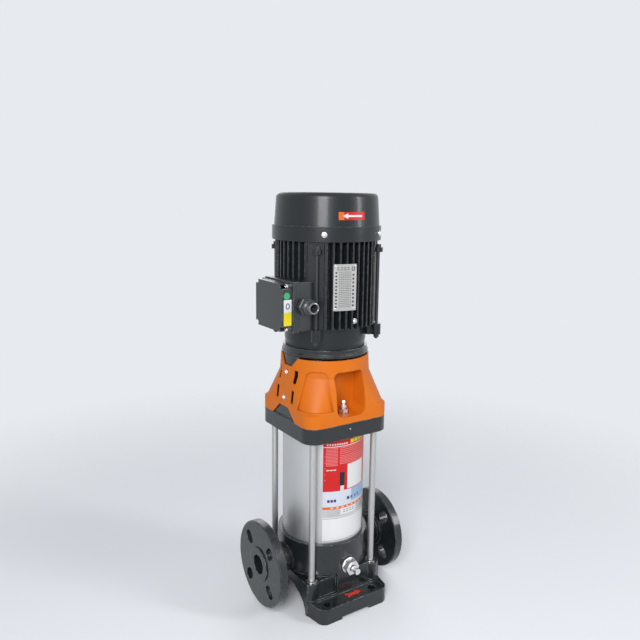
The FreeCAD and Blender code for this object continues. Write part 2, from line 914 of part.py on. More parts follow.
# Drain plug: its spindle opens a bypass into the suction passage
def drain_plug():
    centre = (0, s.port_height)
    gasket = cut(
        rod(s.drain_gasket_r, s.drain_face, drain_seat, centre, "-Y"),
        rod(s.drain_thread_r + s.thread_gap, s.drain_face, drain_seat, centre, "-Y"),
    )
    subpart("drain_plug_gasket", gasket)
    plug = join(
        rod(s.drain_thread_r, s.drain_face - s.drain_thread_length, drain_seat, centre, "-Y"),
        rod(s.drain_collar_r, drain_seat, drain_seat + s.drain_collar, centre, "-Y"),
        hexagon(s.drain_hex_r, drain_seat + s.drain_collar, drain_hex_end, centre, "-Y"),
    )
    seal_pocket_r = s.spindle_r + 2 * s.small_seal_r
    plug_start = s.drain_face - s.drain_thread_length
    plug_bore = rod(s.spindle_r + s.fit_gap, plug_start, drain_hex_end, centre, "-Y")
    pocket_start = drain_hex_end - s.spindle_travel - 4 * s.small_seal_r
    seal_pocket = rod(seal_pocket_r, pocket_start, drain_hex_end, centre, "-Y")
    subpart("drain_plug", cut(plug, plug_bore, seal_pocket))
    head = drain_hex_end + s.spindle_rise
    spindle = join(
        rod(s.spindle_r, s.spindle_tip, head, centre, "-Y"),
        rod(s.spindle_head_r, head, head + s.spindle_head, centre, "-Y"),
    )
    subpart("bypass_spindle", spindle)
    seal_place = -(pocket_start + 2 * s.small_seal_r)
    seal_r = s.spindle_r + s.small_seal_r
    seal = torus(seal_r, s.small_seal_r - s.fit_gap, (0, seal_place, s.port_height), "-Y")
    subpart("bypass_o_ring", seal)


# The tapered form of the guards, from the head's plate up to the stool's ring
def tapered_form(inset, low, high):
    sections = (
        (low, s.plate_half, s.plate_corner),
        (plate_top + s.skirt_height, s.plate_half, s.plate_corner),
        (ledge_top, s.shoulder_half, s.shoulder_corner),
        (s.waist_height, s.waist_half, s.waist_corner),
        (high, s.guard_top_half, s.guard_top_corner),
    )
    body = new_body()
    sketches = []
    for z, half, corner in sections:
        side = half - inset
        sketches.append(draw(new_sketch(body, "XY_Plane", z), square(side, side, corner - inset)))
    loft = feature(body, "AdditiveLoft", sketches[0])
    loft.Sections = sketches[1:]
    loft.Ruled = True
    return body


def hourglass(points):
    """A symmetric outline in the YZ plane from its right-hand points, lowest first."""
    return points + [(-y, z) for y, z in reversed(points)]


def pump_head():
    solids = [padded(square(s.plate_half, s.plate_half, s.plate_corner), s.plate_bottom, plate_top)]
    solids.append(rod(s.boss_r, plate_top, boss_top))
    inside = tapered_form(s.guard_wall + s.loose_gap, plate_top, s.ring_bottom)
    column = hourglass(
        [
            (s.peak_foot, plate_top),
            (s.column_half, plate_top + s.peak_height),
            (s.column_half, s.vee_height),
            (s.vee_top, s.ring_bottom),
        ]
    )
    for side in (-1, 1):
        span = (-s.block_half - s.pillar_r, -s.column_inside)
        span = span if side < 0 else (-span[1], -span[0])
        web = padded(column, span[0], span[1], "YZ_Plane")
        solids.append(shared(web, inside))
    bead, groove_r = s.ring_bead, s.ring_r - s.ring_groove
    solids.append(
        turned(
            [
                (s.ring_bore_r, s.ring_bottom),
                (s.ring_r - bead, s.ring_bottom),
                (s.ring_r, s.ring_bottom + bead),
                (s.ring_r, s.ring_bottom + 2 * bead),
                (groove_r, s.ring_bottom + 2 * bead + s.ring_groove),
                (groove_r, s.motor_face),
                (s.ring_bore_r, s.motor_face),
            ]
        )
    )
    casting = join(*solids)

    groove = cut(
        rod(sleeve_bore_r, s.plate_bottom, sleeve_top),
        rod(s.sleeve_r - s.sleeve_wall - s.loose_gap, s.plate_bottom, sleeve_top),
    )
    seal_groove = cut(
        rod(
            s.sleeve_r + 2 * s.sleeve_seal_r,
            s.plate_bottom + s.sleeve_seal_high - s.sleeve_seal_r,
            s.plate_bottom + s.sleeve_seal_high + s.sleeve_seal_r,
        ),
        rod(s.sleeve_r, s.plate_bottom, sleeve_top),
    )
    tools = [groove, seal_groove]
    tools.append(rod(s.water_r, s.plate_bottom, s.plate_bottom + s.head_recess))
    tools.append(rod(s.seal_bore_r, s.plate_bottom, boss_top))
    tools.append(rod(s.vent_thread_r + s.thread_gap, s.plate_bottom, plate_top, (0, -s.vent_place)))
    for sx, sy in ((-1, -1), (1, -1), (-1, 1), (1, 1)):
        hole_r = s.rod_thread_r + s.loose_gap
        tools.append(rod(hole_r, s.plate_bottom, plate_top, (sx * s.rod_place, sy * s.rod_place)))
        across = s.motor_bolt_circle_r * math.sqrt(0.5)
        bolt_hole_r = s.motor_bolt_r + s.loose_gap
        tools.append(rod(bolt_hole_r, s.ring_bottom, s.motor_face, (sx * across, sy * across)))
    for x, y, _, _ in round_places(3, s.gland_screw_place, first=90):
        low = boss_top + s.seal_plate - s.gland_screw_length
        tools.append(rod(s.gland_screw_r + s.thread_gap, low, boss_top, (x, y)))
    for height, half in guard_screw_seats():
        for along in ("-X", "+X"):
            start = half - s.guard_screw_length
            tools.append(rod(s.guard_screw_r + s.thread_gap, start, half, (0, height), along))
    subpart("pump_head", cut(casting, *tools))


def guard_screw_seats():
    """Height of each guard screw, and how far from the axis its head sits."""
    seats = []
    for height, top, top_half, foot, foot_half in (
        (s.guard_screw_low, s.waist_height, s.waist_half, ledge_top, s.shoulder_half),
        (s.guard_screw_high, s.guard_top, s.guard_top_half, s.waist_height, s.waist_half),
    ):
        share = (height - foot) * (1 / float(top - foot))
        seats.append((height, foot_half + share * float(top_half - foot_half) - s.guard_screw_head / 4))
    return seats


# Coupling guards: two equal shells, the rear one turned half round
def coupling_guards():
    outer = tapered_form(0, plate_top, s.guard_top)
    inner = tapered_form(s.guard_wall, plate_top, s.guard_top)
    panel_floor = tapered_form(s.panel_depth, plate_top, s.guard_top)
    panel_back = tapered_form(s.panel_depth + s.guard_wall, plate_top, s.guard_top)

    def pocket(grow):
        low, high = s.pocket_bottom - grow, s.pocket_top + grow
        half = s.pocket_half + grow
        corners = (s.pocket_low_corner + grow, s.pocket_top_corner + grow)
        outline = rounded((-half, half), (low, high), *corners)
        return padded(outline, s.pocket_back - grow, s.foot_reach, "XZ_Plane")

    def panel(grow, floor):
        top = quarter_round(s.panel_top_half + grow, s.panel_top + grow, s.panel_corner + grow)
        outline = hourglass([(s.panel_foot_half + grow, s.panel_bottom - grow)] + top)
        window = padded(outline, s.column_inside, s.foot_reach, "XZ_Plane")
        place(window, (0, 0, 0), -s.panel_angle)
        return cut(window, floor)

    hollow = cut(inner, pocket(s.guard_wall), panel(s.guard_wall, panel_back))
    tools = [hollow, pocket(0), panel(0, panel_floor)]
    tools.append(rod(s.vent_collar_r + 4 * s.loose_gap, plate_top, s.pocket_top, (0, -s.vent_place)))
    grow = s.loose_gap
    reach = s.foot_reach
    # Openings in which the stool's peak and V show
    peak = hourglass([(s.peak_foot + grow, plate_top), (s.peak_top + grow, plate_top + s.peak_height)])
    vee = hourglass([(s.vee_bottom + grow, s.vee_height), (s.vee_top + grow, s.guard_top)])
    tools += [padded(notch, -reach, reach, "YZ_Plane") for notch in (peak, vee)]
    for height in (s.vent_slot_low, s.vent_slot_high):
        for side in (-1, 1):
            middle = side * s.vent_slot_place
            across = (middle - s.vent_slot_width / 2, middle + s.vent_slot_width / 2)
            up = (height - s.vent_slot_height / 2, height + s.vent_slot_height / 2)
            outline = rounded(across, up, s.vent_slot_corner)
            tools.append(padded(outline, -reach, reach, "YZ_Plane"))
    for height, half in guard_screw_seats():
        tools.append(rod(s.guard_screw_r + 2 * s.loose_gap, s.column_inside, reach, (0, height), "-X"))
        tools.append(rod(s.guard_screw_head_r + s.loose_gap, half, reach, (0, height), "-X"))
    shell = cut(outer, *tools)
    low, high = (plate_top, s.guard_top)
    front = join(
        box((-reach, 0), (-reach, s.guard_overlap - grow / 2), (low, high)),
        box((0, reach), (-reach, -s.guard_overlap - grow / 2), (low, high)),
    )
    guard = shared(shell, front)
    subpart("coupling_guard_front", guard)
    repeated("coupling_guard_rear", guard, [(0, 0, 0, 180.0)])

    screws = []
    for height, half in guard_screw_seats():
        screw = join(
            rod(s.guard_screw_r, half - s.guard_screw_length, half, (0, height), "-X"),
            rod(s.guard_screw_head_r, half, half + s.guard_screw_head, (0, height), "-X"),
        )
        screws.append(screw)
    pair = doc.addObject("Part::Compound", "GuardScrewPair")
    pair.Links = screws
    repeated("guard_screws", pair, [(0, 0, 0, 0.0), (0, 0, 0, 180.0)])


def vent_plug():
    centre = (0, -s.vent_place)
    hex_bottom = plate_top + s.vent_collar
    hex_top = hex_bottom + s.vent_hex
    plug = join(
        rod(s.vent_thread_r, plate_top - s.vent_thread_length, plate_top, centre),
        rod(s.vent_collar_r, plate_top, hex_bottom, centre),
        hexagon(s.vent_hex_r, hex_bottom, hex_top, centre),
    )
    bore = rod(s.vent_spindle_r + s.fit_gap, plate_top - s.vent_thread_length, hex_top, centre)
    pocket_low = hex_top - s.spindle_travel - 4 * s.small_seal_r
    seal_pocket = rod(s.vent_spindle_r + 2 * s.small_seal_r, pocket_low, hex_top, centre)
    subpart("vent_plug", cut(plug, bore, seal_pocket))
    knob = hex_top + s.spindle_rise
    spindle = join(
        rod(s.vent_spindle_r, plate_top - s.vent_thread_length - s.vent_tip, knob, centre),
        turned(
            [
                (0, knob),
                (s.vent_knob_r, knob),
                (s.vent_knob_r, knob + s.vent_knob / 3),
                (s.vent_neck_r, knob + s.vent_knob / 2),
                (s.vent_grip_r, knob + 3 * s.vent_knob / 4),
                (s.vent_neck_r, knob + s.vent_knob),
                (0, knob + s.vent_knob),
            ],
            (0, -s.vent_place, 0),
        ),
    )
    subpart("vent_spindle", spindle)
    seal_height = pocket_low + 2 * s.small_seal_r
    seal_r = s.vent_spindle_r + s.small_seal_r
    subpart("vent_o_ring", torus(seal_r, s.small_seal_r - s.fit_gap, (0, -s.vent_place, seal_height)))


# Stack of stages: chambers, neck rings, impellers and the straps that hold them
def stage_stack():
    inlet = ring(s.neck_ring_r + s.thread_gap, s.stack_r + s.stack_wall, s.seat_height, stack_bottom)
    subpart("inlet_plate", inlet)

    chamber = new_body()
    inside = s.stack_r - s.stack_wall
    turn_on(
        chamber,
        [
            (s.neck_hole_r, 0),
            (s.stack_r, 0),
            (s.stack_r, s.stage_pitch),
            (inside, s.stage_pitch),
            (inside, s.stack_wall),
            (s.neck_hole_r, s.stack_wall),
        ],
    )
    diaphragm_top = s.diaphragm_low + s.diaphragm_thick
    guide = (s.guide_inner_r, inside + s.stack_wall / 2, (s.guide_centre, 0), s.guide_curve, s.guide_thick)
    add_vanes(chamber, diaphragm_top, s.stage_pitch, *guide, GUIDES)
    turn_on(
        chamber,
        [
            (s.hub_r + s.loose_gap, s.diaphragm_low),
            (s.diaphragm_r, s.diaphragm_low),
            (s.diaphragm_r, diaphragm_top),
            (s.hub_r + s.loose_gap, diaphragm_top),
        ],
    )
    impeller = new_body()
    bore = s.shaft_r + s.fit_gap / 2
    back = s.impeller_high - s.shroud_thick
    front = s.impeller_low + s.shroud_thick
    turn_on(
        impeller,
        [
            (bore, s.impeller_low),
            (s.hub_r, s.impeller_low),
            (s.hub_r, back),
            (s.impeller_r, back),
            (s.impeller_r, s.impeller_high),
            (bore, s.impeller_high),
        ],
    )
    vane = (s.vane_start, s.impeller_r, (s.vane_centre_x, s.vane_centre_y), s.vane_curve, s.vane_thick)
    add_vanes(impeller, s.impeller_low, back, *vane, VANES)
    neck_r = s.neck_ring_r - s.loose_gap / 3
    turn_on(
        impeller,
        [
            (s.eye_r, 0),
            (neck_r, 0),
            (neck_r, s.impeller_low),
            (s.impeller_r, s.impeller_low),
            (s.impeller_r, front),
            (s.eye_r, front),
        ],
    )
    neck_ring = ring(s.neck_ring_r, s.neck_hole_r - s.fit_gap, 0, s.stack_wall)
    spacer = ring(bore, s.hub_r, s.impeller_high, s.stage_pitch + s.impeller_low)
    levels = [(0, 0, float(stack_bottom + s.stage_pitch * i), 0.0) for i in range(STAGES)]
    repeated("stage_chambers", chamber, levels)
    repeated("impellers", impeller, levels)
    repeated("neck_rings", neck_ring, levels)
    repeated("shaft_spacers", spacer, levels)

    lid_low = top_chamber_top - s.stack_wall * 2
    top_chamber = turned(
        [
            (s.bush_r, stack_top),
            (s.bush_r + s.stack_wall * 2, stack_top),
            (s.bush_r + s.stack_wall * 2, lid_low),
            (s.stack_r - s.stack_wall, lid_low),
            (s.stack_r - s.stack_wall, stack_top),
            (s.stack_r, stack_top),
            (s.stack_r, top_chamber_top),
            (s.bush_r, top_chamber_top),
        ]
    )
    holes = [
        rod(s.top_hole_r, stack_top, top_chamber_top, (x, y))
        for x, y, _, _ in round_places(GUIDES, (s.stack_r + s.bush_r) / 2)
    ]
    subpart("top_chamber", cut(top_chamber, *holes))
    strap = box(
        (s.stack_r + s.stack_wall, s.stack_r + s.stack_wall + s.strap_thick),
        (-s.strap_width / 2, s.strap_width / 2),
        (s.seat_height, top_chamber_top),
    )
    repeated("stack_straps", strap, round_places(3, first=60))


# Pump shaft with its bearing, lock nut and shaft seal
def shaft_line():
    foot_top = stack_bottom + s.impeller_low
    shaft = turned(
        [
            (0, s.shaft_bottom),
            (s.shaft_foot_r, s.shaft_bottom),
            (s.shaft_foot_r, foot_top),
            (s.shaft_r, foot_top),
            (s.shaft_r, s.shaft_top),
            (0, s.shaft_top),
        ]
    )
    pin_hole = rod(s.pin_r + s.fit_gap / 2, -s.shaft_foot_r, s.shaft_foot_r, (0, s.pin_height), "+Y")
    subpart("pump_shaft", cut(shaft, pin_hole))
    bore = s.shaft_r + s.fit_gap / 2
    last_spacer = stack_top + s.impeller_low
    subpart("shaft_bearing_ring", ring(bore, s.bearing_ring_r, last_spacer, top_chamber_top))
    bush_inner = s.bearing_ring_r + s.fit_gap
    subpart("chamber_bush", ring(bush_inner, s.bush_r - s.fit_gap, stack_top, top_chamber_top))
    nut_top = top_chamber_top + s.lock_nut
    nut = cut(hexagon(s.lock_nut_r, top_chamber_top, nut_top), rod(bore, top_chamber_top, nut_top))
    subpart("impeller_lock_nut", nut)
    ring_low = s.seal_face - s.seal_ring
    subpart("seal_carrier", ring(bore, s.seal_carrier_r, nut_top, ring_low))
    subpart("seal_rotating_ring", ring(bore, s.seal_ring_r, ring_low, s.seal_face))

    skirt_r = s.seal_bore_r - s.loose_gap
    seat_r = skirt_r - s.seal_skirt_wall
    shaft_hole = s.shaft_r + s.loose_gap
    seat = ring(s.hub_r, seat_r - s.fit_gap, s.seal_face, seal_seat_top)
    subpart("seal_seat", seat)
    plate_high = boss_top + s.seal_plate
    seal_plate = turned(
        [
            (seat_r, s.seal_face),
            (skirt_r, s.seal_face),
            (skirt_r, boss_top),
            (s.seal_plate_r, boss_top),
            (s.seal_plate_r, plate_high),
            (shaft_hole, plate_high),
            (shaft_hole, seal_seat_top),
            (seat_r, seal_seat_top),
        ]
    )
    places = round_places(3, s.gland_screw_place, first=90)
    hole_r = s.gland_screw_r + s.loose_gap / 3
    holes = [rod(hole_r, boss_top, plate_high, (x, y)) for x, y, _, _ in places]
    subpart("seal_plate", cut(seal_plate, *holes))
    screw = join(
        rod(s.gland_screw_r, plate_high - s.gland_screw_length, plate_high),
        rod(s.gland_screw_head_r, plate_high, plate_high + s.gland_screw_head),
    )
    repeated("seal_plate_screws", screw, places)


# Split coupling that clamps both shaft ends
def coupling():
    gap = s.coupling_split / 2
    body = turned(
        [
            (s.shaft_r + s.fit_gap / 2, s.coupling_bottom),
            (s.coupling_r, s.coupling_bottom),
            (s.coupling_r, coupling_top),
            (s.motor_shaft_r + s.fit_gap / 2, coupling_top),
            (s.motor_shaft_r + s.fit_gap / 2, s.shaft_top + s.coupling_split),
            (s.shaft_r + s.fit_gap / 2, s.shaft_top + s.coupling_split),
        ]
    )
    levels = (s.coupling_bottom + s.coupling_bolt_margin, coupling_top - s.coupling_bolt_margin)
    reach = s.coupling_bolt_reach
    tools = []
    bolts = []
    for z in levels:
        for side in (-1, 1):
            spot = (side * s.coupling_bolt_place, z)
            tools.append(rod(s.coupling_bolt_r + s.thread_gap, -s.coupling_r, s.coupling_r, spot, "+Y"))
            tools.append(rod(s.coupling_bolt_head_r + s.loose_gap, reach, s.coupling_r, spot, "-Y"))
            head = hexagon(s.coupling_bolt_head_r, reach, reach + s.coupling_bolt_head, spot, "-Y")
            bolts.append(join(head, rod(s.coupling_bolt_r, -reach, reach, spot, "-Y")))
    pin_spot = (0, s.pin_height)
    tools.append(rod(s.pin_r + s.fit_gap / 2, -s.coupling_r / 2, s.coupling_r / 2, pin_spot, "+Y"))
    holed = cut(body, *tools)
    edge = s.coupling_r + s.coupling_split
    low, high = (s.coupling_bottom, coupling_top)
    subpart("coupling_half_front", shared(holed, box((-edge, edge), (-edge, -gap), (low, high))))
    subpart("coupling_half_rear", shared(holed, box((-edge, edge), (gap, edge), (low, high))))
    group = doc.addObject("Part::Compound", "CouplingBolts")
    group.Links = bolts
    subpart("coupling_bolts", group)
    pin = rod(s.pin_r, -s.coupling_r / 2, s.coupling_r / 2, pin_spot, "+Y")
    subpart("coupling_pin", pin)


# Motor housing: drive-end shield, finned frame and rear end shield
def motor_housing():
    floor_top = s.motor_face + s.shield_floor
    cavity_floor = floor_top + s.shield_web
    seat_top = s.drive_bearing + s.bearing_width
    shaft_hole = s.motor_shaft_r + 2 * s.loose_gap
    seat_r = s.bearing_outer_r + s.fit_gap
    solids = [
        turned(
            [
                (shaft_hole, s.motor_face),
                (s.shield_foot_r, s.motor_face),
                (s.shield_foot_r, s.motor_face + s.shield_floor / 2),
                (s.shield_r, floor_top),
                (s.shield_r, s.frame_bottom),
                (s.frame_bore_r - s.loose_gap, s.frame_bottom),
                (s.frame_bore_r - s.loose_gap, cavity_floor),
                (s.shield_hub_r, cavity_floor),
                (s.shield_hub_r, seat_top),
                (seat_r, seat_top),
                (seat_r, s.drive_bearing),
                (shaft_hole, s.drive_bearing),
            ]
        )
    ]
    lug_inside = s.frame_bore_r - s.loose_gap / 2
    for sx in (-1, 1):
        for sy in (-1, 1):
            low, high = s.bolt_seat_low, s.frame_bottom
            solids.append(rod(s.lug_half, low, high, (sx * s.bolt_x, sy * s.bolt_y)))
            nearer = (sx * (s.bolt_x - s.lug_blend), sy * (s.bolt_y - s.lug_blend))
            solids.append(rod(s.lug_half, low, high, nearer))
    holes = [rod(lug_inside, cavity_floor, s.frame_bottom)]
    hub = cut(rod(s.shield_hub_r, floor_top, seat_top), rod(seat_r, s.drive_bearing, seat_top))
    for sx in (-1, 1):
        for sy in (-1, 1):
            spot = (sx * s.bolt_x, sy * s.bolt_y)
            holes.append(rod(s.bolt_r + s.loose_gap / 2, s.bolt_seat_low, s.frame_bottom, spot))
            across = s.motor_bolt_circle_r * math.sqrt(0.5)
            spot = (sx * across, sy * across)
            tapped = (s.motor_face, s.motor_face + s.motor_bolt_grip)
            holes.append(rod(s.motor_bolt_r + s.thread_gap, *tapped, spot))
    lower_hub = cut(hub, rod(shaft_hole, floor_top, s.drive_bearing))
    subpart("drive_end_shield", join(cut(join(*solids), *holes), lower_hub))

    low, high = s.frame_bottom, s.frame_top
    envelope = cut(rod(s.fin_r, low, high), rod((s.frame_bore_r + s.frame_r) / 2, low, high))
    fins = []
    for i in range(FINS):
        middle = s.fin_pitch * (i - (FINS - 1) / 2)
        across = (middle - s.fin_thick / 2, middle + s.fin_thick / 2)
        through = (-s.fin_r, s.fin_r)
        fins.append(box(across, through, (low, high)))
        fins.append(box(through, across, (low, high)))
    outside = [shared(join(*fins), envelope)]
    for i in range(4):
        pad = box((-s.corner_half, s.corner_half), (s.frame_bore_r + s.fit_gap, s.corner_face), (low, high))
        pad.Placement = FreeCAD.Placement()
        outside.append(turned_pad(pad, 45 + 90 * i, low))
    cradle = box(
        (-s.lid_face, s.loose_gap - s.box_seat),
        (box_front - s.loose_gap, box_back + s.loose_gap),
        (low, s.box_top + s.loose_gap),
    )
    tube = ring(s.frame_bore_r, s.frame_r, low, high)
    body = join(cut(join(*outside), cradle), tube)
    lugs = []
    lug_holes = [rod(s.frame_bore_r, low, high)]
    for sx in (-1, 1):
        for sy in (-1, 1):
            spot = (sx * s.bolt_x, sy * s.bolt_y)
            top = s.bolt_seat_high
            lugs.append(rod(s.lug_half, top - s.lug_thick, top, spot))
            lug_holes.append(rod(s.bolt_r + s.loose_gap / 2, top - s.lug_thick, top, spot))
    subpart("motor_frame", cut(join(body, *lugs), *lug_holes))

    bolt = join(
        hexagon(s.bolt_head_r, s.bolt_seat_high, s.bolt_seat_high + s.bolt_head),
        rod(s.bolt_r, s.bolt_seat_low - 1.5 * s.bolt_head, s.bolt_seat_high),
        hexagon(s.bolt_head_r, s.bolt_seat_low - s.bolt_head, s.bolt_seat_low),
    )
    repeated("frame_through_bolts", bolt, four(s.bolt_x, s.bolt_y))

    seat_low = s.fan_bearing
    seat_high = seat_low + s.bearing_width
    rear_low = s.frame_top - s.rear_spigot
    rear_r = cover_seat_r
    rear_shield = turned(
        [
            (s.shaft_body_r + 2 * s.loose_gap, rear_low),
            (s.frame_bore_r - s.thread_gap, rear_low),
            (s.frame_bore_r - s.thread_gap, s.frame_top),
            (rear_r, s.frame_top),
            (rear_r, s.frame_top + s.rear_wall_height),
            (rear_r - s.rear_wall, s.frame_top + s.rear_wall_height),
            (rear_r - s.rear_wall, s.frame_top + s.rear_rim),
            (s.shield_hub_r, s.frame_top + s.rear_rim),
            (s.shield_hub_r, seat_high),
            (seat_r, seat_high),
            (seat_r, seat_low),
            (s.shaft_body_r + 2 * s.loose_gap, seat_low),
        ]
    )
    tapped = [cover_screw_hole(turn, s.cover_screw_r + s.thread_gap) for turn in COVER_SCREW_TURNS]
    subpart("rear_end_shield", cut(rear_shield, *tapped))
    bolt_low = s.ring_bottom - s.motor_bolt_head
    motor_bolt = join(
        hexagon(s.motor_bolt_head_r, bolt_low, s.ring_bottom),
        rod(s.motor_bolt_r, s.ring_bottom, s.motor_face + s.motor_bolt_grip),
    )
    repeated("motor_bolts", motor_bolt, round_places(4, s.motor_bolt_circle_r, first=45))


def turned_pad(pad, angle, low):
    """Turn a box that was drawn along +Y about the motor's axis."""
    turn = FreeCAD.Rotation(V(0, 0, 1), angle)
    corner = V(-float(s.corner_half), float(s.frame_bore_r + s.fit_gap), float(low))
    pad.setExpression("Placement.Base.x", None)
    pad.setExpression("Placement.Base.y", None)
    cosine, sine = math.cos(math.radians(angle)), math.sin(math.radians(angle))
    pad.Placement = FreeCAD.Placement(turn.multVec(corner), turn)
    tie(pad, "Placement.Base.x", -s.corner_half * cosine - (s.frame_bore_r + s.fit_gap) * sine)
    tie(pad, "Placement.Base.y", -s.corner_half * sine + (s.frame_bore_r + s.fit_gap) * cosine)
    return pad


# Motor bearings, rotor, stator and fan
def motor_inside():
    groove = s.bearing_ball_r + s.fit_gap
    half = s.bearing_width / 2
    inner = cut(
        ring(s.bearing_bore_r + s.fit_gap / 2, s.bearing_inner_shoulder, -half, half),
        torus(s.bearing_pitch_r, groove, (0, 0, 0)),
    )
    outer = cut(
        ring(s.bearing_outer_shoulder, s.bearing_outer_r, -half, half),
        torus(s.bearing_pitch_r, groove, (0, 0, 0)),
    )
    ball = doc.addObject("Part::Sphere", "Ball")
    ball.Radius = float(s.bearing_ball_r)
    tie(ball, "Radius", s.bearing_ball_r)
    middles = [float(z + half) for z in (s.drive_bearing, s.fan_bearing)]
    repeated("bearing_inner_rings", inner, [(0, 0, z, 0.0) for z in middles])
    repeated("bearing_outer_rings", outer, [(0, 0, z, 0.0) for z in middles])
    balls = [move for z in middles for move in round_places(BALLS, s.bearing_pitch_r, z)]
    repeated("bearing_balls", ball, balls)

    bearing_r = s.bearing_bore_r
    low_step = s.drive_bearing + s.bearing_width
    subpart(
        "motor_shaft",
        turned(
            [
                (0, s.motor_shaft_end),
                (s.motor_shaft_r, s.motor_shaft_end),
                (s.motor_shaft_r, s.motor_face),
                (bearing_r, s.drive_bearing),
                (bearing_r, low_step),
                (s.shaft_body_r, low_step),
                (s.shaft_body_r, s.fan_bearing),
                (bearing_r, s.fan_bearing),
                (bearing_r, s.fan_bearing + s.bearing_width),
                (s.motor_shaft_r, s.fan_bearing + s.bearing_width),
                (s.motor_shaft_r, s.motor_shaft_top),
                (0, s.motor_shaft_top),
            ]
        ),
    )
    core = (s.core_bottom, s.core_top)
    subpart("rotor_core", ring(s.shaft_body_r + s.fit_gap / 2, s.rotor_r, *core))
    stator_bore = s.rotor_r + s.air_gap
    subpart("stator_core", ring(stator_bore, s.frame_bore_r - s.fit_gap, *core))
    winding = ring(s.winding_inner_r, s.winding_outer_r, 0, s.winding_height)
    ends = [(0, 0, float(s.core_bottom - s.winding_height), 0.0), (0, 0, float(s.core_top), 0.0)]
    repeated("stator_windings", winding, ends)

    fan = new_body()
    bore = s.motor_shaft_r + s.fit_gap / 2
    disc_top = s.fan_bottom + s.fan_blade_thick
    hub_top = s.fan_bottom + s.fan_blade_height
    turn_on(
        fan,
        [
            (bore, s.fan_bottom),
            (s.fan_disc_r, s.fan_bottom),
            (s.fan_disc_r, disc_top),
            (s.fan_hub_r, disc_top),
            (s.fan_hub_r, hub_top),
            (bore, hub_top),
        ],
    )
    thick = s.fan_blade_thick / 2
    blade = [
        (s.fan_hub_r - thick, -thick),
        (s.fan_blade_r, -thick),
        (s.fan_blade_r, thick),
        (s.fan_hub_r - thick, thick),
    ]
    sketch = draw(new_sketch(fan, "XY_Plane", s.fan_bottom), blade)
    made = feature(fan, "Pad", sketch, Length=s.fan_blade_height)
    repeat_round(fan, made, sketch, FAN_BLADES)
    subpart("cooling_fan", fan)


def fan_cover():
    cover = new_body()
    wall = s.cover_wall
    step = s.band_top - wall
    turn_on(
        cover,
        [
            (s.band_r - wall, s.frame_top),
            (s.band_r, s.frame_top),
            (s.band_r, s.band_top),
            (s.cover_foot_r, s.band_top),
            *quarter_round(s.cover_shoulder_r, s.cover_top, s.cover_corner),
            (0, s.cover_top),
            (0, s.cover_top - wall),
            *reversed(quarter_round(s.cover_shoulder_r - wall, s.cover_top - wall, s.cover_corner - wall)),
            (s.cover_foot_r - wall, step),
            (s.band_r - wall, step),
        ],
    )
    half = s.grille_slot / 2
    corner = half - s.fit_gap
    slot = [
        (s.grille_inner, -half, corner),
        (s.grille_outer, -half, corner),
        (s.grille_outer, half, corner),
        (s.grille_inner, half, corner),
    ]
    sketch = draw(new_sketch(cover, "XY_Plane", s.cover_top), slot)
    repeat_round(cover, feature(cover, "Pocket", sketch, Length=2 * wall), sketch, GRILLE_SLOTS)
    holes = [cover_screw_hole(turn, s.cover_screw_r + s.loose_gap) for turn in COVER_SCREW_TURNS]
    subpart("fan_cover", cut(cover, *holes))
    screw = join(
        rod(s.cover_screw_r, s.band_r - s.cover_screw_length, s.band_r, (0, 0), "+X"),
        rod(s.cover_screw_head_r, s.band_r, s.band_r + s.cover_screw_head, (0, 0), "+X"),
    )
    moves = [(0, 0, float(s.cover_screw_height), turn) for turn in COVER_SCREW_TURNS]
    repeated("fan_cover_screws", screw, moves)


def cover_screw_hole(turn, radius):
    """A radial hole for one screw of the fan cover, through the shield's wall and the band."""
    start = cover_seat_r - s.rear_wall - s.loose_gap
    cosine, sine = math.cos(math.radians(turn)), math.sin(math.radians(turn))
    hole = rod(radius, start, s.band_r + s.loose_gap, (0, 0), "+X")
    spin = FreeCAD.Rotation(V(0, 0, 1), turn) * hole.Placement.Rotation
    base = V(float(start) * cosine, float(start) * sine, float(s.cover_screw_height))
    hole.Placement = FreeCAD.Placement(base, spin)
    for axis, size in zip("xyz", (start * cosine, start * sine, s.cover_screw_height)):
        tie(hole, f"Placement.Base.{axis}", size)
    return hole


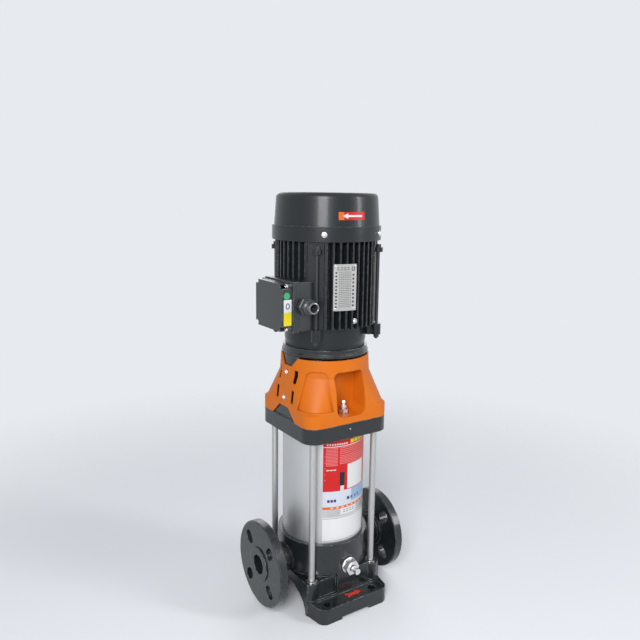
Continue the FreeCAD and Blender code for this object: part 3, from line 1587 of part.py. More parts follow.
# Terminal box on the left side of the motor, with its board and cable gland
def terminal_box():
    across = (box_front, box_back)
    up = (s.box_bottom, s.box_top)
    wide = (box_front - s.box_rim_proud, box_back + s.box_rim_proud)
    tall = (s.box_bottom - s.box_rim_proud, s.box_top + s.box_rim_proud)
    solids = [
        box((-s.box_mouth, -s.box_seat), across, up),
        box((-s.box_mouth, s.box_rim - s.box_mouth), wide, tall),
    ]
    inner_y = (box_front + s.box_wall, box_back - s.box_wall)
    inner_z = (s.box_bottom + s.box_wall, s.box_top - s.box_wall)
    cavity = box((-s.box_mouth, -s.box_floor), inner_y, inner_z)
    saddle = rod(s.frame_r + s.loose_gap, s.motor_face, s.band_top)
    gland = (s.gland_x, s.gland_height)
    gland_hole = rod(s.gland_thread_r + s.thread_gap, -box_front - s.box_wall, -box_front, gland, "-Y")
    corners = []
    inset = s.lid_notch / 2
    for y in (box_front + inset, box_back - inset):
        for z in (s.box_bottom + inset, s.box_top - inset):
            corners.append((y, z))
    screw_start = s.box_mouth + s.lid_flange - s.lid_screw_length
    posts = [rod(inset, s.box_floor, s.box_mouth, corner, "-X") for corner in corners]
    threads = [
        rod(s.lid_screw_r + s.thread_gap, screw_start, s.box_mouth, corner, "-X") for corner in corners
    ]
    face = -box_front
    gland_seat = rod(s.gland_hex_r + s.loose_gap, face, face + s.box_rim_proud, gland, "-Y")
    shell = cut(join(*solids), cavity, saddle, gland_hole, gland_seat)
    subpart("terminal_box", cut(join(shell, *posts), *threads))

    inset_y = (box_front + s.lid_inset, box_back - s.lid_inset)
    inset_z = (s.box_bottom + s.lid_inset, s.box_top - s.lid_inset)
    lid = box((-s.lid_face, -s.box_mouth), inset_y, inset_z)
    lid_hollow = box((s.lid_wall - s.lid_face, -s.box_mouth), inner_y, inner_z)
    lid_shell = cut(lid, lid_hollow)
    ears = [rod(inset, s.box_mouth, s.lid_face, corner, "-X") for corner in corners]
    notch_start = s.box_mouth + s.lid_flange
    notches = [rod(inset, notch_start, s.lid_face + s.lid_inset, corner, "-X") for corner in corners]
    outer = s.lid_notch / 2
    for y, side_y in ((box_front, -1), (box_back, 1)):
        for z, side_z in ((s.box_bottom, -1), (s.box_top, 1)):
            y_pair = (y, y + outer) if side_y < 0 else (y - outer, y)
            z_pair = (z, z + outer) if side_z < 0 else (z - outer, z)
            notches.append(box((-s.lid_face, -notch_start), y_pair, z_pair))
    holes = [rod(s.lid_screw_r + s.thread_gap, s.box_mouth, s.lid_face, corner, "-X") for corner in corners]
    subpart("terminal_box_lid", cut(join(lid_shell, *ears), *notches, *holes))

    screw = join(
        rod(s.lid_screw_r, screw_start, notch_start, (0, 0), "-X"),
        rod(s.lid_screw_head_r, notch_start, notch_start + s.lid_screw_head, (0, 0), "-X"),
    )
    repeated("lid_screws", screw, [(0, float(y), float(z), 0.0) for y, z in corners])

    middle_z = (s.box_bottom + s.box_top) / 2
    board_x = (-s.box_floor - s.board_thick, -s.box_floor)
    board_y = (s.box_centre - s.board_half_y, s.box_centre + s.board_half_y)
    board_z = (middle_z - s.board_half_z, middle_z + s.board_half_z)
    moulded = [box(board_x, board_y, board_z)]
    for column in (-1, 0, 1):
        for row in (-0.5, 0.5):
            spot = (s.box_centre + column * s.stud_pitch, middle_z + row * s.stud_pitch)
            start = s.box_floor + s.board_thick
            moulded.append(rod(s.stud_r, start, start + s.stud_length, spot, "-X"))
    subpart("terminal_board", join(*moulded))

    gland_end = face + s.gland_hex + s.gland_neck
    body = join(
        rod(s.gland_thread_r, face - s.box_wall, face, gland, "-Y"),
        hexagon(s.gland_hex_r, face, face + s.gland_hex, gland, "-Y"),
        rod(s.gland_thread_r, face + s.gland_hex, gland_end, gland, "-Y"),
    )
    bore = rod(s.gland_bore_r + s.loose_gap, face - s.box_wall, gland_end, gland, "-Y")
    subpart("cable_gland_body", cut(body, bore))
    nut_start = face + s.gland_hex + s.loose_gap
    nut_end = nut_start + s.gland_nut
    thread_r = s.gland_thread_r + s.thread_gap
    nut = turned(
        [
            (thread_r, nut_start),
            (s.gland_nut_r, nut_start),
            (s.gland_nut_r, nut_start + s.gland_nut / 2),
            (s.gland_nut_end_r, nut_end),
            (s.gland_bore_r, nut_end),
            (s.gland_bore_r, gland_end + s.loose_gap),
            (thread_r, gland_end + s.loose_gap),
        ],
        (s.gland_x, 0, s.gland_height),
        "-Y",
    )
    subpart("cable_gland_nut", nut)


def copy_pieces():
    for name, piece, moves in repeats:
        copies = []
        for x, y, z, angle in moves:
            copied = piece.Shape.copy()
            move = FreeCAD.Placement(V(x, y, z), FreeCAD.Rotation(V(0, 0, 1), angle))
            copied.Placement = move * copied.Placement
            copies.append(copied)
        group = doc.addObject("Part::Feature", "Group")
        group.Shape = copies[0] if len(copies) == 1 else Part.makeCompound(copies)
        subpart(name, group)


def check_and_write():
    for thing in doc.Objects:
        if "Invalid" in thing.State or "Error" in thing.State:
            raise RuntimeError(f"{thing.Label} did not build: {thing.State}")
    os.makedirs("parts", exist_ok=True)
    for thing in subparts:
        if thing.Shape.isNull() or not thing.Shape.isValid():
            raise RuntimeError(f"{thing.Label} has no valid shape")
    for thing in subparts:
        thing.Shape.exportStep(f"parts/{thing.Label}.step")
        print(f"{thing.Label}: {len(thing.Shape.Solids)} solids, {thing.Shape.Volume / 1000:.1f} cm3")


base_casting()
flange_ring("suction_flange", "-X")
flange_ring("discharge_flange", "+X")
sleeve_and_rods()
drain_plug()
pump_head()
coupling_guards()
vent_plug()
stage_stack()
shaft_line()
coupling()
motor_housing()
motor_inside()
fan_cover()
terminal_box()
doc.recompute()
copy_pieces()
check_and_write()
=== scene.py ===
# %% [markdown]
# # Dressing a vertical multistage pump
# The pump arrives as sixty named pieces in metres, each already in its place: a cast base with flange
# rings, a stainless sleeve between four tie rods, an orange coupling guard and a finned motor. Nothing is
# moved here. We only give every piece a finish, add the small things that a solid model leaves out, such
# as labels, plates and screw heads, and light it all on a pale floor.

# %% Load the pump
import math

import bmesh
import bpy
from mathutils import Matrix, Vector


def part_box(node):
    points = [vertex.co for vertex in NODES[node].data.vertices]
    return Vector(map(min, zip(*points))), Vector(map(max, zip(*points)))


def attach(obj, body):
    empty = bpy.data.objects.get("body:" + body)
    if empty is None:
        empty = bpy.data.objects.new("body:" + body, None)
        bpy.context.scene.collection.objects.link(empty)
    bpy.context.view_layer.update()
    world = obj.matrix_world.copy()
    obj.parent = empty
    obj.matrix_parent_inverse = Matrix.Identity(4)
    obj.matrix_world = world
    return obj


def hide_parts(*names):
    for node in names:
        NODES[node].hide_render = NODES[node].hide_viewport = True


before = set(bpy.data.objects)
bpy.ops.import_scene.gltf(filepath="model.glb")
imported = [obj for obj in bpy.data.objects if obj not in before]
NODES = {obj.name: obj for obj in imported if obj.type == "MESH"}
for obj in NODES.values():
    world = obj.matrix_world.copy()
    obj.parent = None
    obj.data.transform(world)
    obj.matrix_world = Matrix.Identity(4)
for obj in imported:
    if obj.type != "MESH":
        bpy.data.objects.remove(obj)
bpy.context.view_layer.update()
MM = 0.001

# %% [markdown]
# ## A small helper for shader nodes
# A material is a graph of nodes. Writing each node in three or four lines soon hides what the graph does,
# so one helper makes a node, sets it up and plugs in either a number or another node's output.


# %% Node helper
def node(tree, kind, inputs=None, **settings):
    """Add a node. Inputs are set by name or number, with a value or with another node's socket."""
    made = tree.nodes.new(kind)
    for key, value in settings.items():
        setattr(made, key, value)
    for key, value in (inputs or {}).items():
        if isinstance(value, bpy.types.NodeSocket):
            tree.links.new(value, made.inputs[key])
        else:
            made.inputs[key].default_value = value
    return made


def new_group(name, inputs, outputs, kind="ShaderNodeTree"):
    """An empty node group with named sockets: its tree, its input node and its output node."""
    tree = bpy.data.node_groups.new(name, kind)
    for label, socket, value in inputs:
        made = tree.interface.new_socket(label, in_out="INPUT", socket_type=socket)
        if value is not None:
            made.default_value = value
    for label, socket in outputs:
        tree.interface.new_socket(label, in_out="OUTPUT", socket_type=socket)
    return tree, tree.nodes.new("NodeGroupInput"), tree.nodes.new("NodeGroupOutput")


FLOAT, VECTOR = "NodeSocketFloat", "NodeSocketVector"
print("made", node.__name__, "and", new_group.__name__)

# %% [markdown]
# ## Shared effect: soft edges, their wear and a painted edge highlight
# No cast, moulded or machined edge is perfectly sharp. The Bevel node looks round each point for other
# faces and bends the shading normal towards them, so an edge catches light as a small radius would, and
# no geometry is needed. Where the bent normal differs from the true one we are on an edge, and that gives
# a mask for paint that has worn thin. The same mask also paints a pale highlight along the edges, so the
# colour it brings is partly wear and partly painted highlight.


# %% Helpers for values over the surface
def maths(tree, operation, *values, kind="ShaderNodeMath", **settings):
    """One step of arithmetic on numbers or sockets, which gives the socket of the result."""
    return node(tree, kind, dict(enumerate(values)), operation=operation, **settings).outputs[0]


def remap(tree, value, low, high, **settings):
    """Stretch what lies between low and high to the whole way from 0 to 1."""
    span = {"Value": value, "From Min": low, "From Max": high}
    return node(tree, "ShaderNodeMapRange", span, **settings).outputs["Result"]


def object_noise(tree, scale, detail):
    """Noise that stays put on the piece, because it reads Object coordinates."""
    place = node(tree, "ShaderNodeTexCoord").outputs["Object"]
    noise = {"Vector": place, "Scale": scale, "Detail": detail}
    return node(tree, "ShaderNodeTexNoise", noise).outputs["Fac"]


# %% Soft edge group
FLAT, SHARP = 0.985, 0.80  # how far the two normals agree where an edge starts, and where it is full
PATCH_LOW, PATCH_HIGH = 0.42, 0.62


def soft_edge_group():
    tree, given, out = new_group(
        "Soft edges",
        [("Radius", FLOAT, 0.001), ("Wear And Highlight", FLOAT, 0.5)],
        [("Normal", VECTOR), ("Worn And Highlit", FLOAT)],
    )
    bent = node(tree, "ShaderNodeBevel", {"Radius": given.outputs["Radius"]}, samples=6).outputs["Normal"]
    true = node(tree, "ShaderNodeNewGeometry").outputs["Normal"]
    agree = node(tree, "ShaderNodeVectorMath", {0: bent, 1: true}, operation="DOT_PRODUCT").outputs["Value"]
    # The edge mask, broken into patches by noise, marks worn paint and also a painted highlight on the
    # edges.
    edge = remap(tree, agree, FLAT, SHARP)
    breaks = remap(tree, object_noise(tree, scale=160.0, detail=4.0), PATCH_LOW, PATCH_HIGH)
    mask = maths(tree, "MULTIPLY", edge, breaks)
    worn_and_highlit = maths(tree, "MULTIPLY", mask, given.outputs["Wear And Highlight"], use_clamp=True)
    tree.links.new(bent, out.inputs["Normal"])
    tree.links.new(worn_and_highlit, out.inputs["Worn And Highlit"])
    return tree


SOFT_EDGES = soft_edge_group()
print(SOFT_EDGES.name, "has", len(SOFT_EDGES.nodes), "nodes")

# %% [markdown]
# ## Shared effect: surface grain
# Sand casting, powder paint and moulded plastic differ mostly in the size and depth of their grain. Noise
# in Object coordinates stays put on the part in every view. The group gives a bent normal and the noise
# itself, which each material also uses to vary its roughness a little.


# %% Grain group
def grain_group():
    tree, given, out = new_group(
        "Grain",
        [("Size", FLOAT, 300.0), ("Depth", FLOAT, 0.1), ("Stretch", VECTOR, (1.0, 1.0, 1.0)),
         ("Normal", VECTOR, None)],
        [("Normal", VECTOR), ("Grain", FLOAT)],
    )
    socket = given.outputs
    place = node(tree, "ShaderNodeTexCoord").outputs["Object"]
    scaled = node(tree, "ShaderNodeMapping", {"Vector": place, "Scale": socket["Stretch"]})
    fine = node(
        tree, "ShaderNodeTexNoise",
        {"Vector": scaled.outputs["Vector"], "Scale": socket["Size"], "Detail": 5.0, "Roughness": 0.6},
    ).outputs["Fac"]
    bump = node(
        tree, "ShaderNodeBump",
        {"Strength": socket["Depth"], "Distance": MM, "Height": fine, "Normal": socket["Normal"]},
    )
    tree.links.new(bump.outputs["Normal"], out.inputs["Normal"])
    tree.links.new(fine, out.inputs["Grain"])
    return tree


GRAIN = grain_group()
print(GRAIN.name, "has", len(GRAIN.nodes), "nodes")

# %% [markdown]
# ## Shared effect: dust
# Dust settles on what faces up and gathers in patches. The mask is the upward part of the true normal
# times a coarse noise, and a material mixes a little pale grey into its colour by it.


# %% Dust group
def dust_group():
    tree, given, out = new_group("Dust", [("Amount", FLOAT, 0.1)], [("Dust", FLOAT)])
    facing = node(tree, "ShaderNodeNewGeometry").outputs["Normal"]
    upward = node(tree, "ShaderNodeSeparateXYZ", {"Vector": facing}).outputs["Z"]
    settles = remap(tree, upward, low=0.2, high=1.0)
    patches = remap(tree, object_noise(tree, scale=45.0, detail=6.0), low=0.35, high=0.7)
    lies = maths(tree, "MULTIPLY", settles, patches)
    tree.links.new(maths(tree, "MULTIPLY", lies, given.outputs["Amount"]), out.inputs["Dust"])
    return tree


DUST = dust_group()
print(DUST.name, "has", len(DUST.nodes), "nodes")

# %% [markdown]
# ## One recipe for most finishes
# Paint, plastic, steel and rubber all need the same four things: a colour, a rougher or smoother surface,
# the grain, and soft worn edges, whose pale edge colour is partly wear and partly a painted highlight. One
# function builds that graph from plain numbers. Values that are the same all over go straight onto the
# shader's sockets. Only what changes over the surface comes through a link.

# %% Finish recipe
PALE_DUST = (0.36, 0.36, 0.35, 1.0)
COAT_ROUGH = 0.12
MIX_FIRST, MIX_SECOND, MIX_RESULT = 6, 7, 2  # the colour sockets of a Mix node


def blend_colours(tree, share, first, second):
    """The first colour where the share is 0, and the second where it is 1."""
    colours = {"Factor": share, MIX_FIRST: first, MIX_SECOND: second}
    return node(tree, "ShaderNodeMix", colours, data_type="RGBA").outputs[MIX_RESULT]


def finish(
    name, colour, rough, metal=0.0, coat=0.0, grain=(500.0, 0.1), stretch=(1.0, 1.0, 1.0), rough_spread=0.08,
    shade=0.12, edge=0.8, worn_and_highlight_colour=None, wear_and_highlight=0.0, dust=0.0, gloss=0.5,
):
    """A Principled material. edge is a radius in millimetres, and shade varies the colour by the grain. The
    edge colour goes on the edges as worn paint and as a painted highlight.
    """
    made = bpy.data.materials.new(name)
    made.use_nodes = True
    tree = made.node_tree
    shader = tree.nodes["Principled BSDF"]
    edges = node(tree, "ShaderNodeGroup", {"Radius": edge * MM, "Wear And Highlight": wear_and_highlight}, node_tree=SOFT_EDGES).outputs
    skin = node(
        tree, "ShaderNodeGroup",
        {"Size": grain[0], "Depth": grain[1], "Stretch": stretch, "Normal": edges["Normal"]},
        node_tree=GRAIN,
    ).outputs
    darker = (*(part * (1.0 - shade) for part in colour), 1.0)
    lighter = (*(min(1.0, part * (1.0 + shade)) for part in colour), 1.0)
    tone = blend_colours(tree, skin["Grain"], darker, lighter)
    # Pale colour on the edges: partly paint worn thin, partly a painted highlight where edges catch the
    # light.
    if worn_and_highlight_colour:
        tone = blend_colours(tree, edges["Worn And Highlit"], tone, (*worn_and_highlight_colour, 1.0))
    if dust:
        lying = node(tree, "ShaderNodeGroup", {"Amount": dust}, node_tree=DUST).outputs["Dust"]
        tone = blend_colours(tree, lying, tone, PALE_DUST)
    tree.links.new(tone, shader.inputs["Base Color"])
    swing = {"Value": skin["Grain"], "To Min": rough - rough_spread, "To Max": rough + rough_spread}
    roughness = node(tree, "ShaderNodeMapRange", swing).outputs["Result"]
    tree.links.new(roughness, shader.inputs["Roughness"])
    tree.links.new(skin["Normal"], shader.inputs["Normal"])
    plain = {
        "Metallic": metal, "Specular IOR Level": gloss, "Coat Weight": coat, "Coat Roughness": COAT_ROUGH,
    }
    for label, value in plain.items():
        shader.inputs[label].default_value = value
    return made


# %% [markdown]
# ## The finishes
# The castings are sprayed with thick gloss black that leans towards teal and shows the sand skin beneath.
# The motor has a finer satin black. The guard is orange satin plastic. The sleeve is rolled stainless
# with a dull lengthwise grain. Every hidden piece gets its own finish too, because someone may take the
# pump apart.

# %% Finishes
# The pale edge colours of the black finishes and of the gland are partly wear and partly a painted
# highlight.
casting_black = finish(
    "casting gloss black", (0.010, 0.0135, 0.015), 0.30, coat=0.4, grain=(150.0, 0.5), edge=2.0,
    worn_and_highlight_colour=(0.30, 0.32, 0.32), wear_and_highlight=0.8, dust=0.02, gloss=0.35,
)
motor_black = finish(
    "motor satin black", (0.010, 0.013, 0.0145), 0.32, coat=0.2, grain=(700.0, 0.15), edge=1.3,
    worn_and_highlight_colour=(0.22, 0.23, 0.23), wear_and_highlight=0.6, dust=0.02, gloss=0.3,
)
box_black = finish(
    "terminal box black", (0.020, 0.024, 0.026), 0.36, coat=0.1, grain=(600.0, 0.15), edge=1.8,
    worn_and_highlight_colour=(0.30, 0.31, 0.31), wear_and_highlight=0.8, dust=0.02, gloss=0.5,
)
guard_orange = finish(
    "guard orange", (0.63, 0.148, 0.006), 0.46, grain=(900.0, 0.08), shade=0.05, edge=1.2, gloss=0.25
)
sleeve_steel = finish(
    "rolled stainless", (0.56, 0.565, 0.565), 0.50, metal=1.0, grain=(90.0, 0.03), stretch=(8.0, 8.0, 0.25),
    rough_spread=0.06, shade=0.05, edge=0.4,
)
rod_steel = finish(
    "drawn zinc steel", (0.49, 0.49, 0.485), 0.52, metal=1.0, grain=(200.0, 0.05), stretch=(6.0, 6.0, 0.3),
    edge=0.5,
)
bright_nickel = finish(
    "bright nickel", (0.66, 0.655, 0.64), 0.20, metal=1.0, grain=(400.0, 0.04), rough_spread=0.05,
    shade=0.06, edge=0.5,
)
satin_nickel = finish(
    "satin nickel", (0.70, 0.70, 0.69), 0.40, metal=1.0, grain=(400.0, 0.05), rough_spread=0.05,
    shade=0.06, edge=0.6,
)
machined_steel = finish(
    "turned steel", (0.55, 0.55, 0.54), 0.30, metal=1.0, grain=(120.0, 0.06), stretch=(0.6, 0.6, 9.0),
    edge=0.4,
)
pressed_steel = finish(
    "pressed stainless", (0.58, 0.57, 0.55), 0.33, metal=1.0, grain=(240.0, 0.04), shade=0.07, edge=0.4
)
dark_steel = finish(
    "blackened steel", (0.045, 0.047, 0.05), 0.38, metal=0.6, grain=(500.0, 0.1), edge=0.6,
    worn_and_highlight_colour=(0.35, 0.35, 0.34), wear_and_highlight=0.5,
)
rubber_black = finish("black rubber", (0.022, 0.022, 0.023), 0.68, grain=(800.0, 0.12), shade=0.2, edge=0.3)
seal_carbide = finish("silicon carbide", (0.065, 0.067, 0.07), 0.22, grain=(900.0, 0.05), edge=0.3)
neck_plastic = finish("milky neck ring", (0.74, 0.73, 0.68), 0.45, grain=(300.0, 0.05), shade=0.05, edge=0.3)
copper_wire = finish(
    "lacquered winding", (0.52, 0.19, 0.06), 0.34, metal=0.85, grain=(60.0, 0.9), stretch=(1.0, 1.0, 14.0),
    coat=0.4,
)
core_iron = finish(
    "stacked sheet iron", (0.24, 0.24, 0.25), 0.42, metal=0.9, grain=(50.0, 0.7), stretch=(0.2, 0.2, 30.0)
)
fan_plastic = finish("fan plastic", (0.050, 0.052, 0.056), 0.5, grain=(900.0, 0.1))
board_plastic = finish("terminal board", (0.20, 0.095, 0.045), 0.45, grain=(500.0, 0.1))
gland_nylon = finish(
    "gland nylon", (0.040, 0.045, 0.048), 0.30, grain=(900.0, 0.06), edge=0.9, gloss=0.5,
    worn_and_highlight_colour=(0.30, 0.31, 0.31), wear_and_highlight=0.8,
)
gland_rim = finish("gland rim", (0.22, 0.225, 0.23), 0.24, metal=0.8, grain=(600.0, 0.06), edge=0.6)
print("finishes from", casting_black.name, "to", gland_rim.name)

# %% [markdown]
# ## Which piece wears which finish
# A table says it best. The finish replaces whatever material the piece arrived with.

# %% Dress the pieces
FINISHES = {
    casting_black: ["base_casting", "suction_flange", "discharge_flange", "pump_head", "coupling_half_front",
                    "coupling_half_rear"],
    motor_black: ["drive_end_shield", "motor_frame", "rear_end_shield", "fan_cover"],
    box_black: ["terminal_box", "terminal_box_lid"],
    guard_orange: ["coupling_guard_front", "coupling_guard_rear"],
    sleeve_steel: ["outer_sleeve"],
    rod_steel: ["tie_rods", "tie_rod_nuts", "motor_bolts"],
    bright_nickel: ["tie_rod_washers", "guard_screws", "seal_plate_screws", "fan_cover_screws", "lid_screws",
                    "bearing_balls"],
    satin_nickel: ["drain_plug", "bypass_spindle", "vent_plug", "vent_spindle"],
    machined_steel: ["pump_shaft", "motor_shaft", "bearing_inner_rings", "bearing_outer_rings",
                     "coupling_pin"],
    pressed_steel: ["inlet_plate", "stage_chambers", "impellers", "shaft_spacers", "top_chamber",
                    "stack_straps", "impeller_lock_nut", "seal_carrier", "seal_plate"],
    dark_steel: ["frame_through_bolts", "coupling_bolts"],
    rubber_black: ["sleeve_o_rings", "drain_plug_gasket", "bypass_o_ring", "vent_o_ring"],
    seal_carbide: ["shaft_bearing_ring", "chamber_bush", "seal_rotating_ring", "seal_seat"],
    neck_plastic: ["neck_rings"],
    copper_wire: ["stator_windings"],
    core_iron: ["stator_core", "rotor_core"],
    fan_plastic: ["cooling_fan"],
    board_plastic: ["terminal_board"],
    gland_nylon: ["cable_gland_body", "cable_gland_nut"],
}
for material, names in FINISHES.items():
    for name in names:
        NODES[name].data.materials.clear()
        NODES[name].data.materials.append(material)
undressed = set(NODES) - {name for names in FINISHES.values() for name in names}
print("pieces without a finish:", sorted(undressed))

# %% [markdown]
# ## Thin things that lie on a surface
# Labels, plates and painted signs are flat shapes laid on something that is often round. We draw each
# outline in two dimensions, in millimetres, cut it into strips so that it can bend, raise it to its
# thickness and then carry every point onto the surface with a small function. A hole is simply a second
# outline.

# %% Sheet maker
SAME_POINT = 1e-7
CORNER_STEPS, CIRCLE_SIDES = 4, 32


def mesh_object(name, mesh):
    """Turn a bmesh into an object of the scene."""
    data = bpy.data.meshes.new(name)
    mesh.to_mesh(data)
    mesh.free()
    made = bpy.data.objects.new(name, data)
    bpy.context.scene.collection.objects.link(made)
    return made


def add_piece(name, mesh, material):
    """A finished piece, which rides on the pump's own body."""
    made = mesh_object(name, mesh)
    made.data.materials.append(material)
    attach(made, "pump")
    return made


def sheet_piece(name, outlines, lay, thick, material, strip=None):
    """A closed sheet. lay(u, v, w) gives a point in millimetres, and strip is a bending strip's width."""
    mesh = bmesh.new()
    for outline in outlines:
        corners = [mesh.verts.new((u, v, 0.0)) for u, v in outline]
        for first, second in zip(corners, corners[1:] + corners[:1]):
            mesh.edges.new((first, second))
    bmesh.ops.triangle_fill(mesh, use_beauty=True, use_dissolve=False, edges=mesh.edges[:], normal=(0, 0, 1))
    if strip:
        low = min(vert.co.x for vert in mesh.verts)
        high = max(vert.co.x for vert in mesh.verts)
        for i in range(1, math.ceil((high - low) / strip)):
            everything = mesh.verts[:] + mesh.edges[:] + mesh.faces[:]
            cut = (low + i * strip, 0, 0)
            bmesh.ops.bisect_plane(mesh, geom=everything, plane_co=cut, plane_no=(1, 0, 0))
    raised = bmesh.ops.extrude_face_region(mesh, geom=mesh.faces[:])
    for part in raised["geom"]:
        if isinstance(part, bmesh.types.BMVert):
            part.co.z = thick
    for vert in mesh.verts:
        vert.co = Vector(lay(*vert.co)) * MM
    bmesh.ops.remove_doubles(mesh, verts=mesh.verts[:], dist=SAME_POINT)
    bmesh.ops.recalc_face_normals(mesh, faces=mesh.faces[:])
    add_piece(name, mesh, material)


# %% Outlines, and a way to lay them on a drum
def rectangle(left, low, right, high, corner=0.0):
    """An outline, with round corners if asked."""
    if not corner:
        return [(left, low), (right, low), (right, high), (left, high)]
    centres = ((right - corner, high - corner), (left + corner, high - corner),
               (left + corner, low + corner), (right - corner, low + corner))
    points = []
    for quarter, (x, y) in enumerate(centres):
        for step in range(CORNER_STEPS + 1):
            turn = math.pi / 2 * (quarter + step / CORNER_STEPS)
            points.append((x + corner * math.cos(turn), y + corner * math.sin(turn)))
    return points


def directions(count):
    """Directions spread evenly once round a circle."""
    return [(math.cos(2 * math.pi * i / count), math.sin(2 * math.pi * i / count)) for i in range(count)]


def circle(x, y, radius):
    return [(x + radius * across, y + radius * up) for across, up in directions(CIRCLE_SIDES)]


def on_drum(radius, middle):
    """Lay a sheet on an upright drum. u is the arc length from the middle angle, to the right as seen."""
    def lay(u, v, w):
        turn = math.radians(middle) + u / radius
        return (radius + w) * math.cos(turn), (radius + w) * math.sin(turn), v
    return lay


print("a round corner is drawn in", CORNER_STEPS, "steps and a circle with", CIRCLE_SIDES, "sides")

# %% [markdown]
# ## Printed colours
# Ink and vinyl are smooth and even, with only a fine unevenness in the gloss, so the recipe serves with
# low grain. Each colour is a finish of its own.

# %% Label finishes
VINYL_ROUGH = 0.38


def label_finish(name, colour):
    return finish(name, colour, VINYL_ROUGH, grain=(700.0, 0.03), shade=0.03, edge=0.1, gloss=0.3)


label_red = label_finish("label red", (0.53, 0.012, 0.012))
label_white = label_finish("label white", (0.66, 0.66, 0.665))
label_pink = label_finish("label fine print", (0.70, 0.24, 0.24))
label_orange = label_finish("label orange", (0.66, 0.13, 0.02))
label_pale = label_finish("label pale grey", (0.56, 0.585, 0.655))
label_blue = label_finish("label pale blue", (0.27, 0.40, 0.56))
label_ink = label_finish("label ink blue", (0.02, 0.03, 0.14))
label_black = label_finish("label ink black", (0.016, 0.016, 0.018))
label_green = label_finish("label green", (0.05, 0.36, 0.14))
label_yellow = label_finish("label yellow", (0.72, 0.62, 0.02))
plate_silver = finish(
    "nameplate aluminium", (0.44, 0.44, 0.43), 0.45, metal=0.5, grain=(180.0, 0.10), shade=0.12, edge=0.2
)
sign_red = finish("painted red", (0.66, 0.045, 0.025), 0.45, grain=(300.0, 0.3), shade=0.1, edge=0.5)
print("inks from", label_red.name, "to", label_yellow.name)

# %% [markdown]
# ## Labels on the sleeve
# Two vinyl labels wrap the front of the sleeve, a tall red one and a white one below it. They start where
# the sleeve faces us and run nearly to its right edge. The red one carries a white panel and a pale band.
# Every field is a sheet of its own, so each can have its own ink.

# %% Sleeve labels
SLEEVE_R = 68.25
LABEL_MIDDLE = -86.5
END = math.radians(37.5) * SLEEVE_R  # from the middle of the label to its end, along the arc
BEND = 4.0
VINYL, INK = 0.12, 0.05  # how thick they are
VINYL_LIFT, INK_LIFT = 0.05, 0.20  # how far their undersides clear the steel
on_sleeve = on_drum(SLEEVE_R + VINYL_LIFT, LABEL_MIDDLE)
on_label = on_drum(SLEEVE_R + INK_LIFT, LABEL_MIDDLE)
FIELDS = [
    ("red", -END, 202.4, END, 291.0, label_red),
    ("band", -END, 175.9, END, 202.3, label_pale),
    ("stripe", -END, 171.6, END, 175.8, label_orange),
    ("small", -14.7, 160.3, 17.8, 171.4, label_white),
    ("white", -END, 114.8, END, 157.6, label_white),
]
PRINTED = [
    ("panel", -2.6, 203.6, 37.5, 245.8, label_white),
    ("header", -END, 277.2, END, 278.4, label_white),
    ("sky", 6.0, 180.0, END, 202.2, label_blue),
    ("dark_bar", -17.0, 211.0, -8.0, 234.0, label_black),
    ("light_bar", -15.5, 188.0, -9.0, 210.8, label_pale),
    ("line_high", -END + 1.0, 155.4, END - 1.0, 155.9, label_ink),
    ("line_low", -END + 1.0, 116.6, END - 1.0, 117.1, label_ink),
]
for fields, lay, thick in ((FIELDS, on_sleeve, VINYL), (PRINTED, on_label, INK)):
    for field, left, low, right, high, colour in fields:
        outline = rectangle(left, low, right, high)
        sheet_piece("sleeve_label_" + field, [outline], lay, thick, colour, strip=BEND)
print("sleeve labels are", round(2 * END), "mm wide, in", len(FIELDS) + len(PRINTED), "sheets")

# %% [markdown]
# ## Rules on the label, with Geometry Nodes
# Rows of small bars give the labels and the motor's plate a printed look. They repeat evenly, so a node
# tree lays a grid of points, puts a flat bar on each, bends the rows round a drum and makes everything
# real. Its sizes are inputs on the modifier, found by the socket's identifier.

# %% Node tree for rules on a drum
BAR_THICK = 0.00004


def geometry_tree(name, inputs):
    """A geometry node group: its tree, its input node and its output node."""
    return new_group(name, inputs, [("Geometry", "NodeSocketGeometry")], "GeometryNodeTree")


def finish_tree(tree, geometry, material, out):
    """End a tree with real geometry and its material, so that nothing is left as an instance."""
    real = node(tree, "GeometryNodeRealizeInstances", {"Geometry": geometry}).outputs["Geometry"]
    coloured = node(tree, "GeometryNodeSetMaterial", {"Geometry": real, "Material": material})
    tree.links.new(coloured.outputs["Geometry"], out.inputs["Geometry"])
    return tree


def vector(tree, x, y, z):
    """Three numbers or sockets put together as a vector."""
    return node(tree, "ShaderNodeCombineXYZ", {"X": x, "Y": y, "Z": z}).outputs[0]


